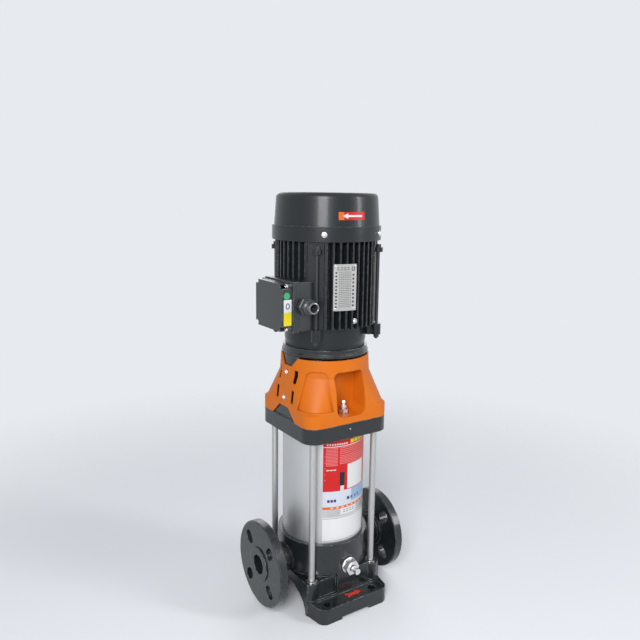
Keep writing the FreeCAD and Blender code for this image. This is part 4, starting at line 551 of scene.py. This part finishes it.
def rules_tree():
    tree, given, out = geometry_tree(
        "Rules on a drum",
        [("Rows", "NodeSocketInt", 8), ("Marks", "NodeSocketInt", 12), ("Drum Radius", FLOAT, 0.07),
         ("Middle Angle", FLOAT, 0.0), ("Width", FLOAT, 0.05), ("Low", FLOAT, 0.2), ("High", FLOAT, 0.25),
         ("Mark Share", FLOAT, 0.8), ("Mark Height", FLOAT, 0.001),
         ("Material", "NodeSocketMaterial", None)],
    )
    socket = given.outputs
    pitch = maths(tree, "DIVIDE", socket["Width"], maths(tree, "MAXIMUM", socket["Marks"], 1.0))
    # One bar, as a thin box.
    mark_size = vector(
        tree, maths(tree, "MULTIPLY", pitch, socket["Mark Share"]), socket["Mark Height"], BAR_THICK
    )
    cube = {"Size": mark_size, "Vertices X": 3, "Vertices Y": 2, "Vertices Z": 2}
    mark = node(tree, "GeometryNodeMeshCube", cube).outputs["Mesh"]
    # A grid of points, stretched to the field and lifted to its height, with the bar on each.
    grid = {"Size X": 1.0, "Size Y": 1.0, "Vertices X": socket["Marks"], "Vertices Y": socket["Rows"]}
    points = node(tree, "GeometryNodeMeshGrid", grid).outputs["Mesh"]
    across = maths(tree, "SUBTRACT", socket["Width"], pitch)
    tall = maths(tree, "SUBTRACT", socket["High"], socket["Low"])
    half = maths(tree, "MULTIPLY", maths(tree, "ADD", socket["High"], socket["Low"]), 0.5)
    at = node(tree, "GeometryNodeInputPosition").outputs[0]
    spread = maths(tree, "MULTIPLY", at, vector(tree, across, tall, 0.0), kind="ShaderNodeVectorMath")
    moved = maths(tree, "ADD", spread, vector(tree, 0.0, half, 0.0), kind="ShaderNodeVectorMath")
    flat = node(tree, "GeometryNodeSetPosition", {"Geometry": points, "Position": moved}).outputs["Geometry"]
    rows = node(tree, "GeometryNodeInstanceOnPoints", {"Points": flat, "Instance": mark})
    real = node(tree, "GeometryNodeRealizeInstances", {"Geometry": rows.outputs["Instances"]})
    # Bend the flat rows round the drum: x becomes an angle, and z adds to the radius.
    flat_place = node(tree, "GeometryNodeInputPosition").outputs[0]
    where = node(tree, "ShaderNodeSeparateXYZ", {"Vector": flat_place})
    turn = maths(tree, "DIVIDE", where.outputs["X"], socket["Drum Radius"])
    angle = maths(tree, "ADD", turn, socket["Middle Angle"])
    reach = maths(tree, "ADD", where.outputs["Z"], socket["Drum Radius"])
    x = maths(tree, "MULTIPLY", maths(tree, "COSINE", angle), reach)
    y = maths(tree, "MULTIPLY", maths(tree, "SINE", angle), reach)
    round_point = vector(tree, x, y, where.outputs["Y"])
    bent = node(
        tree, "GeometryNodeSetPosition", {"Geometry": real.outputs["Geometry"], "Position": round_point}
    )
    return finish_tree(tree, bent.outputs["Geometry"], socket["Material"], out)


RULES = rules_tree()
print(RULES.name, "has", len(RULES.nodes), "nodes")


# %% Run a tree
def grow(name, tree, values, seed=None, replaces=()):
    """Run a tree once on a seed mesh, keep the result as a plain mesh of the pump and drop the modifier."""
    if seed is None:
        seed = bpy.data.meshes.new(name + "_seed")
    host = bpy.data.objects.new(name, seed)
    bpy.context.scene.collection.objects.link(host)
    modifier = host.modifiers.new("Grow", "NODES")
    modifier.node_group = tree
    sockets = {item.name: item.identifier for item in tree.interface.items_tree if item.in_out == "INPUT"}
    for label, value in values.items():
        modifier[sockets[label]] = value
    bpy.context.view_layer.update()
    result = host.evaluated_get(bpy.context.evaluated_depsgraph_get())
    data = bpy.data.meshes.new_from_object(result)
    host.modifiers.clear()
    host.data = data
    data.name = name
    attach(host, "pump")
    if replaces:
        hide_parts(*replaces)
    print(name, "has", len(data.polygons), "faces")


def print_rows(name, drum, middle, rows, marks, across, up, share, tall, material):
    """Rows of bars on a drum. across is in millimetres of arc from the middle angle, and up in heights."""
    (left, right), (low, high) = across, up
    grow(name, RULES, {
        "Rows": rows, "Marks": marks, "Drum Radius": drum * MM,
        "Middle Angle": math.radians(middle) + (left + right) / 2 / drum,
        "Width": (right - left) * MM, "Low": low * MM, "High": high * MM, "Mark Share": share,
        "Mark Height": tall * MM, "Material": material,
    })


# %% Rules on the labels
LABEL_PRINT_R = SLEEVE_R + 0.22
LABEL_PRINT = [
    ("left", 13, 6, (-40.5, -20.5), (246.5, 275.5), 0.86, 1.1, label_pink),
    ("upper", 4, 12, (-17.5, 37.0), (265.5, 275.0), 0.90, 1.2, label_pink),
    ("lower", 6, 12, (-17.5, 37.0), (248.5, 262.0), 0.90, 1.2, label_pink),
    ("heading", 1, 9, (-40.0, -3.0), (281.6, 281.7), 0.62, 2.6, label_white),
    ("discs", 1, 4, (2.0, 36.0), (283.5, 283.6), 0.80, 6.4, label_yellow),
    ("note", 1, 3, (-40.0, -23.0), (238.8, 238.9), 0.80, 1.6, label_white),
    ("side", 5, 1, (-42.6, -41.0), (222.0, 262.0), 0.70, 1.4, label_pink),
    ("band", 1, 3, (-38.0, -22.0), (186.0, 186.1), 0.75, 4.6, label_ink),
    ("sky", 1, 4, (-4.0, 27.0), (187.0, 187.1), 0.70, 5.0, label_ink),
    ("stripe", 1, 8, (-34.0, 40.0), (173.7, 173.8), 0.42, 1.8, label_white),
    ("small", 2, 4, (-11.0, 14.0), (164.5, 168.0), 0.60, 1.0, label_ink),
]
for place, *rule in LABEL_PRINT:
    print_rows("label_print_" + place, LABEL_PRINT_R, LABEL_MIDDLE, *rule)


# %% [markdown]
# ## Small signs on the motor
# A red sign on the fan cover shows the turning direction with a plain white arrow. The lid of the
# terminal box has three stickers, a green dot, a white one with a blue ring and a blank yellow one. All
# are thin vinyl.

# %% Signs and stickers
COVER_FOOT_R, COVER_SHOULDER_R = 83.8, 80.9
COVER_FOOT, COVER_SHOULDER = 624.9, 666.0
SIGN_MIDDLE = math.degrees(math.atan2(-82.5, -9.2))
SIGN_HALF, SIGN_LOW, SIGN_HIGH = 22.3, 635.0, 646.6
SIGN_END = -13.8
SIGN_CORNER, SIGN_BEND = 0.6, 3.0
ARROW_UP = 640.8
ARROW = [(-16.0, 0.0), (-7.5, 4.0), (-7.5, 1.4), (17.0, 1.4), (17.0, -1.4), (-7.5, -1.4), (-7.5, -4.0)]
LID_FRONT = -55.0
STICKER_LEFT, STICKER_RIGHT, STICKER_CORNER = -110.4, -97.2, 0.5
RING_X, RING_Z = -103.8, 509.4


def on_cover(lift):
    """Lay a sheet on the fan cover, which narrows a little towards the top."""
    def lay(u, v, w):
        share = (v - COVER_FOOT) / (COVER_SHOULDER - COVER_FOOT)
        radius = COVER_FOOT_R + share * (COVER_SHOULDER_R - COVER_FOOT_R) + lift
        turn = math.radians(SIGN_MIDDLE) + u / radius
        return (radius + w) * math.cos(turn), (radius + w) * math.sin(turn), v
    return lay


def on_lid_side(lift):
    """Lay a sheet on the front side of the terminal box lid."""
    def lay(u, v, w):
        return u, LID_FRONT - lift - w, v
    return lay


def ring_edge(radius, share):
    """One edge of the blue ring, which is taller than it is wide."""
    return [(RING_X + share * (x - RING_X), z) for x, z in circle(RING_X, RING_Z, radius)]


sign = rectangle(-SIGN_HALF, SIGN_LOW, SIGN_HALF, SIGN_HIGH, SIGN_CORNER)
sign_end = rectangle(-SIGN_HALF, SIGN_LOW, SIGN_END, SIGN_HIGH, SIGN_CORNER)
sign_arrow = [(u, v + ARROW_UP) for u, v in ARROW]
SIGNS = [  # name, outline, how far its underside lies off the cover, its thickness, and its ink
    ("turning_sign", sign, 0.05, 0.2, label_red),
    ("turning_sign_end", sign_end, 0.26, 0.03, label_orange),
    ("turning_arrow", sign_arrow, 0.30, 0.08, label_white),
]
for name, outline, lift, thick, colour in SIGNS:
    sheet_piece(name, [outline], on_cover(lift), thick, colour, strip=SIGN_BEND)
upper_sticker = rectangle(STICKER_LEFT, 500.1, STICKER_RIGHT, 518.9, STICKER_CORNER)
lower_sticker = rectangle(STICKER_LEFT, 480.0, STICKER_RIGHT, 500.0, STICKER_CORNER)
STICKERS = [  # as above, but off the lid
    ("green", [circle(-105.3, 524.6, 5.1)], 0.05, 0.15, label_green),
    ("white", [upper_sticker], 0.05, 0.15, label_white),
    ("yellow", [lower_sticker], 0.05, 0.15, label_yellow),
    ("ring", [ring_edge(4.6, 0.75), ring_edge(3.2, 0.62)], 0.22, 0.05, label_ink),
]
for name, outlines, lift, thick, colour in STICKERS:
    sheet_piece("sticker_" + name, outlines, on_lid_side(lift), thick, colour)
print(len(SIGNS), "layers of the sign and", len(STICKERS), "of the stickers")

# %% [markdown]
# ## Nameplate
# A thin aluminium plate lies over the fins. It has a stamped border and rows of plain dark marks, and its
# four rivets come further down with the other turned parts.

# %% Nameplate
FIN_R = 81.7
PLATE_MIDDLE = math.degrees(math.atan2(-FIN_R, -18.7))
PLATE_THICK, PLATE_BEND = 0.6, 3.0
PLATE_PRINT_R, RIVET_SEAT_R = FIN_R + 0.68, FIN_R + 0.65
on_fins = on_drum(FIN_R + 0.05, PLATE_MIDDLE)
on_plate = on_drum(FIN_R + PLATE_THICK, PLATE_MIDDLE)
plate = [rectangle(-18.6, 499.3, 18.6, 569.8, 0.8)]
border = [rectangle(-17.4, 500.6, 17.4, 568.5, 0.8), rectangle(-16.8, 501.2, 16.8, 567.9, 0.6)]
dot = [circle(12.8, 562.6, 3.1), circle(12.8, 562.6, 1.9)]
sheet_piece("nameplate", plate, on_fins, PLATE_THICK, plate_silver, strip=PLATE_BEND)
sheet_piece("nameplate_border", border, on_plate, 0.12, plate_silver, strip=PLATE_BEND)
PLATE_PRINT = [
    ("left", 11, 1, (-16.2, -13.0), (505.5, 557.0), 0.9, 2.3),
    ("right", 9, 1, (11.4, 14.8), (507.0, 553.5), 0.9, 2.6),
    ("middle", 20, 7, (-10.8, 9.8), (505.5, 558.0), 0.62, 0.9),
    ("heading", 2, 4, (-14.0, 7.0), (561.5, 564.5), 0.7, 1.0),
]
for place, *rule in PLATE_PRINT:
    print_rows("plate_print_" + place, PLATE_PRINT_R, PLATE_MIDDLE, *rule, label_black)
sheet_piece("plate_print_dot", dot, on_plate, 0.1, label_black, strip=PLATE_BEND)

# %% [markdown]
# ## Screw heads on points
# A screw head is drawn once, as a turned dome with a crossed recess cut into it. A node tree then puts a
# copy on every point of a small mesh and turns it to the direction that the point carries. Each set of
# heads stands for the plain screws of the model, which are then no longer shown.

# %% Head shape
HEAD_SIDES = 32
SLOT_LONG, SLOT_WIDE, SLOT_DEEP, SLOT_UP = 1.15, 0.26, 1.2, 1.05  # in shares of the head's radius and height


def lathe(mesh, profile, count):
    """Turn an outline of (radius, height) points, in millimetres, about Z into a closed mesh."""
    rings = []
    for radius, height in profile:
        around = directions(count) if radius else [(0.0, 0.0)]
        rings.append([mesh.verts.new((radius * x * MM, radius * y * MM, height * MM)) for x, y in around])
    for lower, upper in zip(rings, rings[1:]):
        for i in range(count):
            j = (i + 1) % count
            if len(lower) == 1:
                mesh.faces.new((lower[0], upper[j], upper[i]))
            elif len(upper) == 1:
                mesh.faces.new((lower[i], lower[j], upper[0]))
            else:
                mesh.faces.new((lower[i], lower[j], upper[j], upper[i]))
    bmesh.ops.recalc_face_normals(mesh, faces=mesh.faces[:])


def cross_head(radius, height, shank):
    """A pan head with a crossed recess, its seat at z = 0 and its shank below."""
    profile = [
        (0, -shank), (radius * 0.5, -shank), (radius * 0.5, 0), (radius, 0), (radius, height * 0.35),
        (radius * 0.93, height * 0.7), (radius * 0.75, height * 0.92), (radius * 0.4, height), (0, height),
    ]
    dome, cross = bmesh.new(), bmesh.new()
    lathe(dome, profile, HEAD_SIDES)
    size = (radius * SLOT_LONG * MM, radius * SLOT_WIDE * MM, height * SLOT_DEEP * MM)
    for turn in (0.0, math.pi / 2):
        move = Matrix.Translation((0, 0, height * SLOT_UP * MM)) @ Matrix.Rotation(turn, 4, "Z")
        bmesh.ops.create_cube(cross, size=1.0, matrix=move @ Matrix.Diagonal((*size, 1.0)))
    head, tool = mesh_object("head", dome), mesh_object("cross", cross)
    recess = head.modifiers.new("Recess", "BOOLEAN")
    recess.operation, recess.object, recess.use_self = "DIFFERENCE", tool, True
    bpy.context.view_layer.update()
    made = bpy.data.meshes.new_from_object(head.evaluated_get(bpy.context.evaluated_depsgraph_get()))
    for spare in (head, tool):
        bpy.data.objects.remove(spare)
    return bpy.data.objects.new("cross_head_shape", made)


# %% Node tree that sets shapes on points
def on_points_tree():
    tree, given, out = geometry_tree(
        "Shapes on points",
        [("Points", "NodeSocketGeometry", None), ("Shape", "NodeSocketObject", None), ("Size", FLOAT, 1.0),
         ("Turn", FLOAT, 0.0), ("Material", "NodeSocketMaterial", None)],
    )
    socket = given.outputs
    shape = node(tree, "GeometryNodeObjectInfo", {"Object": socket["Shape"]}).outputs["Geometry"]
    outwards = node(tree, "GeometryNodeInputNamedAttribute", {"Name": "outwards"}, data_type="FLOAT_VECTOR")
    aim = {"Vector": outwards.outputs["Attribute"]}
    aimed = node(tree, "FunctionNodeAlignRotationToVector", aim, axis="Z").outputs[0]
    spin = {"Rotation": aimed, "Rotate By": vector(tree, 0.0, 0.0, socket["Turn"])}
    spun = node(tree, "FunctionNodeRotateRotation", spin, rotation_space="LOCAL").outputs[0]
    scale = vector(tree, socket["Size"], socket["Size"], socket["Size"])
    copies = node(
        tree, "GeometryNodeInstanceOnPoints",
        {"Points": socket["Points"], "Instance": shape, "Rotation": spun, "Scale": scale},
    )
    return finish_tree(tree, copies.outputs["Instances"], socket["Material"], out)


ON_POINTS = on_points_tree()
HEAD_TURN = 0.4
print(ON_POINTS.name, "has", len(ON_POINTS.nodes), "nodes")


def set_on_points(name, places, shape, material, replaces=()):
    """Copies of a shape at (point, direction) pairs, in millimetres. The shape itself isn't kept."""
    seed = bpy.data.meshes.new(name + "_points")
    seed.from_pydata([Vector(point) * MM for point, _ in places], [], [])
    outwards = seed.attributes.new("outwards", "FLOAT_VECTOR", "POINT")
    for i, (_, direction) in enumerate(places):
        outwards.data[i].vector = Vector(direction).normalized()
    values = {"Shape": shape, "Size": 1.0, "Turn": HEAD_TURN, "Material": material}
    grow(name, ON_POINTS, values, seed, replaces)
    bpy.data.objects.remove(shape)


# %% Screws of the fan cover, the terminal box and the guards
BAND_R, COVER_SCREW_UP, COVER_SCREW_TURN = 86.6, 613.5, 36
LID_FACE = -103.0


def drum_place(radius, degrees, height):
    """A point on an upright drum, and the direction straight out of it."""
    turn = math.radians(degrees)
    return (radius * math.cos(turn), radius * math.sin(turn), height), (math.cos(turn), math.sin(turn), 0.0)


cover_places = [
    drum_place(BAND_R, 90 + half + side * COVER_SCREW_TURN, COVER_SCREW_UP)
    for half in (0, 180) for side in (-1, 1)
]
lid_places = [((LID_FACE, y, z), (-1.0, 0.0, 0.0)) for y in (-51.5, 21.9) for z in (474.4, 538.8)]
guard_places = [
    ((side * seat, 0.0, height), (side, 0.0, 0.0))
    for side in (-1.0, 1.0) for seat, height in ((76.2, 352.0), (71.8, 393.0))
]
SCREWS = [  # the part they hold, their places, and the head's radius, its height and the shank's length
    ("fan_cover", cover_places, (4.8, 2.8, 5.0)),
    ("lid", lid_places, (3.6, 3.0, 6.0)),
    ("guard", guard_places, (4.2, 2.4, 9.0)),
]
for held, places, size in SCREWS:
    set_on_points(held + "_screw_heads", places, cross_head(*size), bright_nickel, [held + "_screws"])


# %% [markdown]
# ## Rivets, earth screw, plugs and a pin
# Four rivets hold the nameplate. A bright earth screw with its washer sits low between two fins. Two dark
# plugs close tapped holes on the motor's right side, and a small pin marks the front of the pump head.
# Each is a turned shape on its points, so a table of outlines makes them all.

# %% Turned small parts
FRONT = (0.0, -1.0, 0.0)
RIVET_ACROSS = 15.4
PLUG_TURN = -31
rivet_places = [
    drum_place(RIVET_SEAT_R, PLATE_MIDDLE + math.degrees(side * RIVET_ACROSS / FIN_R), height)
    for side in (-1, 1) for height in (502.6, 566.5)
]
plug_places = [drum_place(FIN_R, PLUG_TURN, height) for height in (578.0, 507.0)]
TURNED = [
    ("nameplate_rivets", bright_nickel, rivet_places, 20,
     [(0, -0.4), (1.4, -0.4), (1.4, 0.25), (1.1, 0.65), (0.6, 0.85), (0, 0.9)]),
    ("earth_screw", bright_nickel, [((-0.6, -80.2, 481.8), FRONT)], 24,
     [(0, -9.0), (2.0, -9.0), (2.0, 0), (4.3, 0), (4.3, 0.9), (3.4, 0.9), (3.4, 2.9), (2.6, 3.7), (0, 3.9)]),
    ("frame_plugs", motor_black, plug_places, 24,
     [(0, -1.0), (3.2, -1.0), (3.2, 0.9), (2.4, 1.8), (0, 2.1)]),
    ("head_pin", bright_nickel, [((-1.8, -78.3, 308.5), FRONT)], 24,
     [(0, -0.5), (1.2, -0.5), (1.2, 0.15), (0.8, 0.45), (0, 0.5)]),
]
for name, material, places, sides, profile in TURNED:
    mesh = bmesh.new()
    lathe(mesh, profile, sides)
    set_on_points(name, places, mesh_object(name + "_shape", mesh), material)


# %% [markdown]
# ## Round corners on the foot
# The foot of a casting has generous round corners, because sand would crumble off a sharp pattern. The
# solid has square ones, so we work on a copy. Its triangles are merged and its flat faces dissolved, and
# then the four upright corner edges are bevelled. Shading stays smooth over the rounds and sharp at true
# edges.

# %% Rounded foot
FOOT_RADIUS, FOOT_STEPS = 11.0, 6
SHADE_ANGLE, FLAT_ANGLE = 32.0, 0.4
NEAR, UPRIGHT, SHORTEST, MERGE = 0.0004, 0.0002, 0.010, 1e-6


def shade_by_angle(mesh):
    """Smooth faces, with every edge sharper than the angle kept hard."""
    for face in mesh.faces:
        face.smooth = True
    for edge in mesh.edges:
        edge.smooth = edge.is_manifold and edge.calc_face_angle(0.0) < math.radians(SHADE_ANGLE)


def foot_corners(mesh):
    """The upright edges at the four corners of the foot."""
    low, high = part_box("base_casting")
    uprights = [
        edge for edge in mesh.edges
        if all(min(abs(vert.co.y - low[1]), abs(vert.co.y - high[1])) < NEAR for vert in edge.verts)
        and abs(edge.verts[0].co.x - edge.verts[1].co.x) < UPRIGHT and edge.calc_length() > SHORTEST
    ]
    reach = max(abs(edge.verts[0].co.x) for edge in uprights)
    corners = [edge for edge in uprights if abs(abs(edge.verts[0].co.x) - reach) < NEAR]
    print("foot corners found:", len(corners), "at x", round(reach / MM, 1), "mm")
    return corners


def rounded_foot():
    mesh = bmesh.new()
    mesh.from_mesh(NODES["base_casting"].data)
    bmesh.ops.remove_doubles(mesh, verts=mesh.verts[:], dist=MERGE)
    flat = math.radians(FLAT_ANGLE)
    bmesh.ops.dissolve_limit(mesh, angle_limit=flat, verts=mesh.verts[:], edges=mesh.edges[:])
    bmesh.ops.bevel(mesh, geom=foot_corners(mesh), offset=FOOT_RADIUS * MM, offset_type="OFFSET",
                    segments=FOOT_STEPS, profile=0.5, affect="EDGES", clamp_overlap=True)
    bmesh.ops.triangulate(mesh, faces=[face for face in mesh.faces if len(face.verts) > 4])
    shade_by_angle(mesh)
    made = add_piece("base_with_round_foot", mesh, casting_black)
    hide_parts("base_casting")


rounded_foot()

# %% [markdown]
# ## Cable gland
# A gland is a hexagon body screwed into the box and a cap nut that squeezes a rubber ring round the
# cable. Both are turned rings: an outline of radius and distance from the box, closed on itself and
# carried round. Six sides give the hexagons, many sides the round parts. No cable was fitted, so the bore
# stays open.

# %% Gland
GLAND_X, GLAND_Z, GLAND_LENGTH = -75.9, 507.9, 15.0
GLAND_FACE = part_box("cable_gland_body")[0][1] / MM + GLAND_LENGTH


def turned_ring(mesh, outline, sides):
    """Carry a closed outline of (radius, distance from the box) once round the gland's axis."""
    rings = [
        [mesh.verts.new(((GLAND_X + radius * across) * MM, (GLAND_FACE - away) * MM,
                         (GLAND_Z + radius * up) * MM)) for radius, away in outline]
        for across, up in directions(sides)
    ]
    for first, second in zip(rings, rings[1:] + rings[:1]):
        for i in range(len(outline)):
            j = (i + 1) % len(outline)
            mesh.faces.new((first[i], second[i], second[j], first[j]))


def gland_piece(name, rings, material, stands_for=None):
    mesh = bmesh.new()
    for outline, sides in rings:
        turned_ring(mesh, outline, sides)
    bmesh.ops.recalc_face_normals(mesh, faces=mesh.faces[:])
    print(name, "has", len(mesh.faces), "faces")
    made = add_piece(name, mesh, material)
    if stands_for:
        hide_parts(stands_for)


gland_piece("gland_hexagon", [
    ([(6.3, 0.1), (12.6, 0.1), (13.9, 1.0), (13.9, 7.6), (12.4, 9.0), (6.3, 9.0)], 6),
    ([(6.4, 9.0), (9.9, 9.0), (9.9, 14.6), (6.4, 14.6)], 32),
], gland_nylon, "cable_gland_body")
gland_piece("gland_cap_nut", [
    ([(10.2, 9.5), (11.3, 9.5), (12.5, 10.4), (12.5, 14.6), (11.4, 15.8), (10.2, 15.8)], 6),
    ([(10.1, 15.6), (11.4, 15.9), (11.2, 17.4), (9.6, 18.6), (8.6, 19.6), (8.2, 20.4), (7.2, 20.4),
      (7.2, 15.6)], 40),
], gland_nylon, "cable_gland_nut")
gland_piece("gland_nut_rim", [
    ([(7.4, 20.0), (8.9, 20.3), (9.0, 26.8), (8.5, 27.9), (7.2, 28.2), (6.3, 27.6), (6.1, 20.0)], 40),
], gland_rim)

# %% [markdown]
# ## Flow arrow
# A raised arrow is cast into the trough of the foot and picked out in red. It points from the suction
# side to the discharge side.

# %% Flow arrow
FLOW_ARROW = [(0.0, 0.0), (-4.0, 5.7), (3.0, 3.1), (15.0, 2.8), (16.0, 5.7), (25.5, 0.0),
              (16.0, -5.7), (15.0, -2.8), (3.0, -3.1), (-4.0, -5.7)]
ARROW_FOOT = (-2.5, -83.3)
TROUGH, ARROW_RISE = 22.0, 1.2


def in_trough(u, v, w):
    """Lay a sheet on the level bottom of the trough."""
    return u, v, TROUGH + w


flow_outline = [(ARROW_FOOT[0] + x, ARROW_FOOT[1] + y) for x, y in FLOW_ARROW]
sheet_piece("flow_arrow", [flow_outline], in_trough, ARROW_RISE, sign_red)
print("the flow arrow starts at", ARROW_FOOT, "mm")

# %% [markdown]
# ## Camera
# The photograph was taken from the left front, a little above the motor's middle. The camera's place, its
# three angles and its focal length were solved from the pump's own edges, so the picture can be laid over
# the photograph. The small vertical shift is the photograph's own framing.

# %% Camera
CAMERA_PLACE = Vector((-588.63, -872.64, 674.14)) * MM
YAW, PITCH, ROLL = (math.radians(angle) for angle in (-33.531, -10.240, 0.763))
PICTURE, LENS, SHIFT = 640.0, 657.28, -8.6  # the picture's width, the lens and its shift, all in pixels
SENSOR = 36.0
ahead = Vector((-math.sin(YAW) * math.cos(PITCH), math.cos(YAW) * math.cos(PITCH), math.sin(PITCH)))
level = Vector((math.cos(YAW), math.sin(YAW), 0.0))
above = level.cross(ahead)
side = math.cos(ROLL) * level + math.sin(ROLL) * above
top = -math.sin(ROLL) * level + math.cos(ROLL) * above
camera_data = bpy.data.cameras.new("portrait")
camera_data.sensor_width = SENSOR
camera_data.lens = LENS / PICTURE * SENSOR
camera_data.shift_y = SHIFT / PICTURE
camera = bpy.data.objects.new("portrait", camera_data)
camera_turn = Matrix((side, top, -ahead)).transposed().to_4x4()
camera.matrix_world = Matrix.Translation(CAMERA_PLACE) @ camera_turn
bpy.context.scene.collection.objects.link(camera)
bpy.context.scene.camera = camera
print("lens", round(camera_data.lens, 2), "mm")

# %% [markdown]
# ## Floor, backdrop and light
# A pale floor keeps the shadow of the pump and fades away with distance, so no horizon shows. Two soft
# boxes light the pump as in the photograph: a strong one stands left of the camera and lights the front
# and the left side, and a narrow one on the right gives the black castings their gloss. A large weak one
# behind keeps the back readable. Metal shows what surrounds it, so the world stays pale for reflections
# and for the camera, and dim as a light.

# %% Floor
FLOOR_COLOUR = (0.87, 0.89, 0.92, 1.0)
FLOOR_HALF, FLOOR_DROP, FLOOR_ROUGH = 6.0, 0.0005, 0.7
FADE_STARTS, FADE_ENDS = 0.35, 1.3


def make_floor():
    mesh = bmesh.new()
    bmesh.ops.create_grid(mesh, x_segments=1, y_segments=1, size=FLOOR_HALF)
    floor = mesh_object("floor", mesh)
    floor.location.z = -FLOOR_DROP
    paper = bpy.data.materials.new("pale paper")
    paper.use_nodes = True
    tree = paper.node_tree
    shader = tree.nodes["Principled BSDF"]
    shader.inputs["Base Color"].default_value = FLOOR_COLOUR
    shader.inputs["Roughness"].default_value = FLOOR_ROUGH
    place = node(tree, "ShaderNodeTexCoord").outputs["Object"]
    away = node(tree, "ShaderNodeVectorMath", {0: place}, operation="LENGTH").outputs["Value"]
    gone = remap(tree, away, FADE_STARTS, FADE_ENDS, interpolation_type="SMOOTHSTEP")
    clear = node(tree, "ShaderNodeBsdfTransparent").outputs[0]
    both = node(tree, "ShaderNodeMixShader", {0: gone, 1: shader.outputs[0], 2: clear})
    tree.links.new(both.outputs[0], tree.nodes["Material Output"].inputs["Surface"])
    floor.data.materials.append(paper)


make_floor()
print("the floor fades away between", FADE_STARTS, "and", FADE_ENDS, "m")

# %% World
SEEN_COLOUR, LIGHT_COLOUR = (0.80, 0.83, 0.87, 1.0), (0.86, 0.92, 1.0, 1.0)
SEEN_STRENGTH, LIGHT_STRENGTH = 1.0, 0.28


def pale_world():
    world = bpy.data.worlds.new("studio")
    bpy.context.scene.world = world
    world.use_nodes = True
    tree = world.node_tree
    tree.nodes.clear()
    ray = node(tree, "ShaderNodeLightPath").outputs
    seen = maths(tree, "MAXIMUM", ray["Is Camera Ray"], ray["Is Glossy Ray"])
    seen = maths(tree, "MAXIMUM", seen, ray["Is Transmission Ray"])
    pale = node(tree, "ShaderNodeBackground", {"Color": SEEN_COLOUR, "Strength": SEEN_STRENGTH}).outputs[0]
    dim = node(tree, "ShaderNodeBackground", {"Color": LIGHT_COLOUR, "Strength": LIGHT_STRENGTH}).outputs[0]
    both = node(tree, "ShaderNodeMixShader", {0: seen, 1: dim, 2: pale}).outputs[0]
    node(tree, "ShaderNodeOutputWorld", {"Surface": both})


pale_world()
print("the world lights at", LIGHT_STRENGTH)

# %% Lamps
AIM = Vector((0.0, 0.0, 0.35))
LAMPS = [  # place, width and height in metres, and watts
    ("key", (-1.37, -1.52, 1.35), (0.8, 1.3), 47),
    ("right_gloss", (1.32, -1.57, 1.20), (0.35, 1.2), 17),
    ("back_fill", (1.10, 2.00, 1.30), (1.5, 1.7), 12),
]
for name, place, size, watts in LAMPS:
    data = bpy.data.lights.new(name, "AREA")
    data.shape = "RECTANGLE"
    data.size, data.size_y = size
    data.energy = watts
    lamp = bpy.data.objects.new(name, data)
    lamp.location = place
    lamp.rotation_euler = (AIM - Vector(place)).to_track_quat("-Z", "Y").to_euler()
    bpy.context.scene.collection.objects.link(lamp)
print(len(LAMPS), "soft boxes")

# %% [markdown]
# The Standard view shows colours as written.

# %% Finish
bpy.context.scene.view_settings.view_transform = "Standard"
